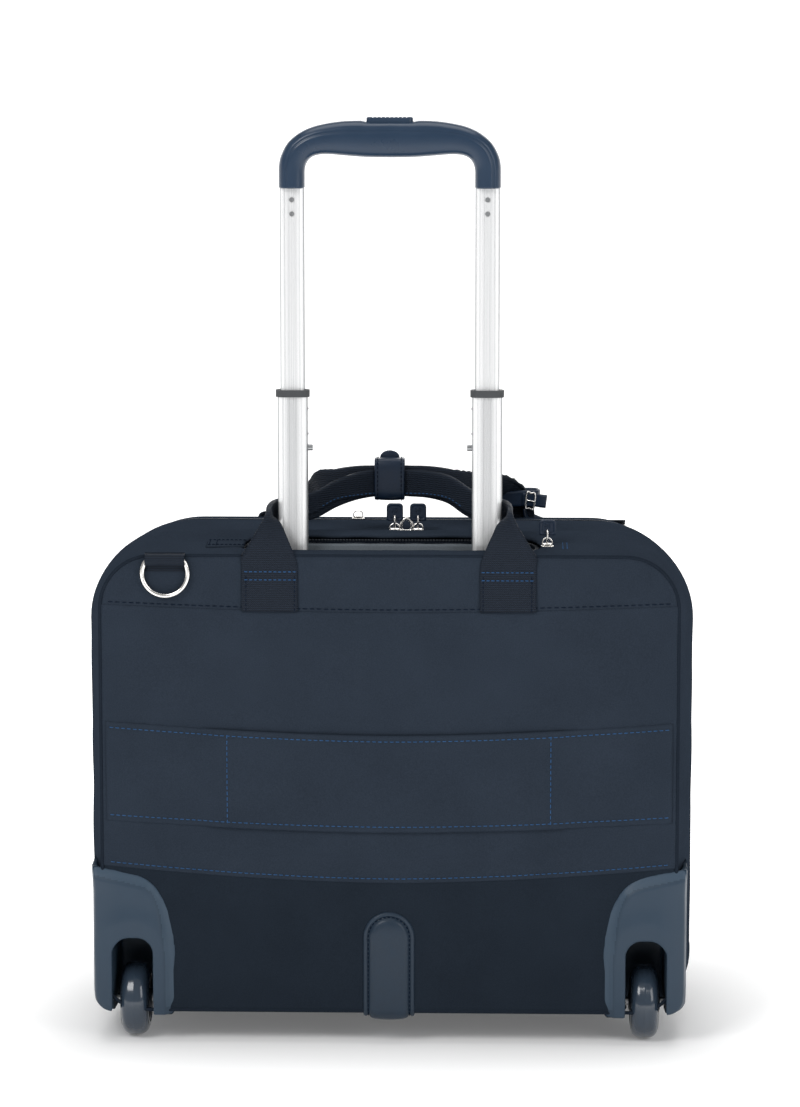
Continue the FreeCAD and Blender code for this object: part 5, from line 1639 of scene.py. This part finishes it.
def handle_zip():
    """Open zip round the handle's slot: tape, one row of teeth and the pleated lining inside."""
    tape_points, lining_points = 360, 300
    tape = []
    for inset, drop in ((-3.5, 2.6), (-0.6, 2.0), (1.0, 1.6), (2.3, 1.5), (3.6, 2.1), (4.1, 3.0)):
        line = slot_outline(inset, 1.0)
        line = resampled(line, 1.0, closed=True)
        ring = ring_samples(line, tape_points)[1]
        tape.append(np.column_stack([ring, slot_z(ring) - drop]))
    piece = grid_object("handle_zip_tape", np.array(tape), wrap=True)
    thicken(piece, 0.8, 0.0)
    finish_piece(piece, "tape", "case", ["handle_zip_chain"])
    rows = Batch()
    line = slot_outline(2.4, 2.25)
    inner = unit(np.column_stack([np.clip(line[:, 0], -(SLOT_HALF - SLOT_WIDE),
                                          SLOT_HALF - SLOT_WIDE) - line[:, 0],
                                  SLOT_Y - line[:, 1], np.zeros(len(line))]))
    height = slot_z(line) - 1.0
    for (x, y), z, way in zip(line, height, inner):
        spot = np.array([x, y, z])
        path = spot + np.outer([-1.2, 0.2, 0.9, 1.4], way)
        along = np.cross(way, [0, 0, 1.0])
        rows.add(*sweep(path, [(-0.7, -0.5), (0.7, -0.5), (0.7, 0.35), (0.4, 0.6), (-0.4, 0.6),
                               (-0.7, 0.35)], along,
                        sizes=[0.8, 1.0, 1.15, 0.8]))
    rows.build("handle_zip_teeth", "teeth", "case", "zip_tape")
    # pleated lining that shows in the open slot
    lining = []
    for inset, drop in ((3.9, 2.6), (4.5, 5), (5.4, 22), (5.6, 60), (5.8, 90)):
        index, ring = ring_samples(slot_outline(inset, 1.0), lining_points)
        fold = 0.5 * np.sin(index * 0.22 + 2 * np.sin(index * 0.05)) * min(1.0, drop / 60)
        ring[:, 1] += fold * np.sign(ring[:, 1] - SLOT_Y)
        lining.append(np.column_stack([ring, slot_z(ring) - drop]))
    cloth_piece = grid_object("handle_well_lining", np.array(lining), wrap=True)
    thicken(cloth_piece, 0.8, 0.0)
    finish_piece(cloth_piece, "lining", "case")


handle_zip()

# divider wall and laptop sleeve: softened copies of their CAD solids
for name, voxel in (("divider_wall", 2.0), ("laptop_sleeve", 1.6)):
    finish_piece(remeshed(f"{name}_cloth", name, voxel, 1), "lining", "case", [name])


# ------------------------------------------------------------------------ sliders and pulls

def bevelled_block(half_x, half_y, low, high, rounding, edge=0.35):
    """Verts and faces of a block with rounded upright corners and soft edges."""
    outline_points = []
    for cx, cy, a0 in ((half_x, -half_y, -90), (half_x, half_y, 0), (-half_x, half_y, 90),
                       (-half_x, -half_y, 180)):
        sx, sy = math.copysign(half_x - rounding, cx), math.copysign(half_y - rounding, cy)
        outline_points += [(sx, sy, math.radians(a0 + k * 18)) for k in range(6)]
    rings = []
    for inset, z in ((edge, low), (0, low + edge), (0, high - edge), (edge * 0.4, high - edge * 0.4),
                     (edge, high)):
        rings.append([(sx + (rounding - inset) * math.cos(a), sy + (rounding - inset) * math.sin(a), z)
                      for sx, sy, a in outline_points])
    return np.array(rings).reshape(-1, 3), tube_faces(len(rings), len(outline_points))


def slider(name):
    """Zip slider: two stacked plates and the bridge that holds a pull."""
    low, high = corners(name)
    middle = (low + high) / 2
    deck = low[2]
    made = Batch()
    verts, faces = bevelled_block(4.6, 4.0, deck, deck + 1.1, 2.2, 0.3)
    made.add(verts + np.array([middle[0], middle[1], 0]), faces)
    verts, faces = bevelled_block(3.9, 3.4, deck + 1.3, deck + 2.6, 2.4, 0.4)
    made.add(verts + np.array([middle[0], middle[1], 0]), faces)
    bridge = spline(np.array([(-3.6, 0, 2.4), (-3.3, 0, 4.6), (-1.6, 0, 6.1), (1.2, 0, 6.2), (3.1, 0, 4.8),
                              (3.4, 0, 2.4)]), 26)
    bridge = bridge + np.array([middle[0], middle[1], deck])
    made.add(*sweep(bridge, flat_section(2.2, 0.75, 6, 0), Y_AXIS))
    made.build(f"{name}_casting", "nickel", name, "bright_metal", [name])


def pull(name):
    """Leather tab on a bright wire loop that hangs in the slider's bridge."""
    low, high = corners(name)
    middle = (low + high) / 2
    pin = low[2] + 0.8
    length = high[2] - low[2]
    wire = Batch()
    path = np.array([(0, 2.5, 0.0), (0, 3.0, 2.6), (0, 3.1, 6.0), (0, 2.2, 8.2), (0, -2.2, 8.2),
                     (0, -3.1, 6.0), (0, -3.0, 2.6),
                     (0, -2.5, 0.0), (0, -1.2, -0.1), (0, 1.2, -0.1)])
    ring = resampled(spline(path, 120, closed=True), 0.7, closed=True)
    wire.add(*sweep(ring + np.array([middle[0], middle[1], pin]), round_section(0.75, 8), X_AXIS,
                    closed=True))
    wire.build(f"{name}_loop", "nickel", name, "bright_metal")
    tab = Batch()
    half, foot, top = 6.0, 5.3, length - 0.3
    outline_points = []
    for cx, cz, r, a0 in ((half, foot, 1.6, -90), (half, top, 2.8, 0), (-half, top, 2.8, 90),
                          (-half, foot, 1.6, 180)):
        sx, sz = math.copysign(half - r, cx), cz + r if cz == foot else cz - r
        outline_points += [(sx, sz, r, math.radians(a0 + k * 15)) for k in range(7)]
    # crowned rim, a groove inside it, then the flat middle
    levels = [(0.5, 0.0), (0.0, 0.6), (0.0, 1.0), (0.35, 1.45), (0.9, 1.6), (1.4, 1.45), (1.7, 1.15),
              (2.1, 1.15),
              (2.5, 1.3), (3.2, 1.3)]
    rings = []
    for side in (-1, 1):
        band = []
        for inset, deep in levels:
            scale_x, scale_z = (half - inset) / half, ((top - foot) / 2 - inset) / ((top - foot) / 2)
            mid_z = (foot + top) / 2
            band.append([((sx + r * math.cos(a)) * scale_x, side * deep,
                          mid_z + (sz + r * math.sin(a) - mid_z) * scale_z)
                         for sx, sz, r, a in outline_points])
        rings += band[::-1] if side == -1 else band[1:]
    points = np.array(rings).reshape(-1, 3) + np.array([middle[0], middle[1], pin - 0.8])
    tab.add(points, tube_faces(len(rings), len(outline_points)))
    rib_half, rib_depth = 2.0, 1.2
    for side in (-1, 1):
        for z in (0.42, 0.5, 0.58, 0.66):
            height = pin + foot + (top - foot) * z
            line = np.array([(middle[0] + end * rib_half, middle[1] + side * rib_depth, height)
                             for end in (-1, 1)])
            tab.add(*sweep(line, round_section(0.32, 6), Y_AXIS))
    tab.build(f"{name}_leather", "leather", name, "leather", [name])


for name in ("main_slider_left", "main_slider_right", "handle_slider", "lid_slider"):
    slider(name)
for name in ("main_pull_left", "main_pull_right", "handle_pull"):
    pull(name)

# lock eye that stands between the two main sliders, fixed to the left one
left_low, left_high = corners("main_slider_left")
right_low = corners("main_slider_right")[0]
eye_x = (left_high[0] + right_low[0]) / 2
eye_ring = np.array([(eye_x - 3.6, MAIN_ZIP, left_low[2] + 1.6), (eye_x - 3.9, MAIN_ZIP, left_low[2] + 5.6),
                     (eye_x - 2.4, MAIN_ZIP, left_low[2] + 9.0), (eye_x, MAIN_ZIP, left_low[2] + 10.0),
                     (eye_x + 2.4, MAIN_ZIP, left_low[2] + 9.0), (eye_x + 3.9, MAIN_ZIP, left_low[2] + 5.6),
                     (eye_x + 3.6, MAIN_ZIP, left_low[2] + 1.6), (eye_x, MAIN_ZIP, left_low[2] + 0.9)])
lock_eye = Batch()
lock_eye.add(*sweep(resampled(spline(eye_ring, 90, closed=True), 0.8, closed=True), round_section(1.15, 10),
                    Y_AXIS, closed=True))
lock_eye.add(*sweep(np.array([(left_high[0] - 1.0, MAIN_ZIP, left_low[2] + 1.6),
                              (eye_x - 2.5, MAIN_ZIP, left_low[2] + 1.8)]),
                    flat_section(3.2, 1.2, 5, 0), Y_AXIS))
lock_eye.build("lock_eye", "nickel", "main_slider_left", "bright_metal")


def top_row(batch, xs, ys, lift, pitch, length):
    """Row of stitches that lies on the top of the case."""
    line = np.stack(np.broadcast_arrays(xs, ys, np.polyval(HIGH, ys) + lift), 1)
    stitch_row(batch, line, np.broadcast_to(Z_AXIS, line.shape), pitch, length, 0.32)


# stitched end of the handle zip, past its slider
tack = Batch()
slider_x = corners("handle_slider")[1][0]
for offset in (6.5, 9.5):
    top_row(tack, slider_x + offset, np.linspace(SLOT_Y - 8, SLOT_Y + 8, 8), 1.3, 3.2, 2.4)
tack.build("zip_end_stitches", "thread", "case", "zip_tape")

# cloth patch over the other end of the zip, held by a box of stitches
patch_x = np.linspace(-SLOT_HALF - 24, -SLOT_HALF + 4, 24)
patch_y = np.linspace(SLOT_Y - 9, SLOT_Y + 9, 16)
px, py = np.meshgrid(patch_x, patch_y)
edge_in = np.minimum(np.minimum(px - patch_x[0], patch_x[-1] - px),
                     np.minimum(py - patch_y[0], patch_y[-1] - py))
top_z = np.polyval(HIGH, py) + 1.4 + 1.5 * np.clip(edge_in / 1.6, 0, 1) ** 0.5
patch = grid_object("zip_end_patch", np.stack([px, py, top_z], axis=2))
thicken(patch, 1.0)
finish_piece(patch, "shell", "case")
box = Batch()
patch_hem = 2.4
for x in (patch_x[0] + patch_hem, patch_x[0] + 7.5):
    top_row(box, x, np.linspace(patch_y[0] + 2, patch_y[-1] - 2, 10), 3.0, 3.0, 2.2)
for y in (patch_y[0] + 2, patch_y[-1] - 2):
    top_row(box, np.linspace(patch_x[0] + patch_hem, patch_x[-1] - 1, 16), y, 3.0, 3.0, 2.2)
box.build("zip_patch_stitches", "quiet_thread", "case", "zip_tape")


# ------------------------------------------------------------------------ CAD parts kept

for look, names in CAD_FINISH.items():
    for name in names:
        held = NODES[name].data.materials
        held.clear()
        held.append(PALETTE[look])

studio()
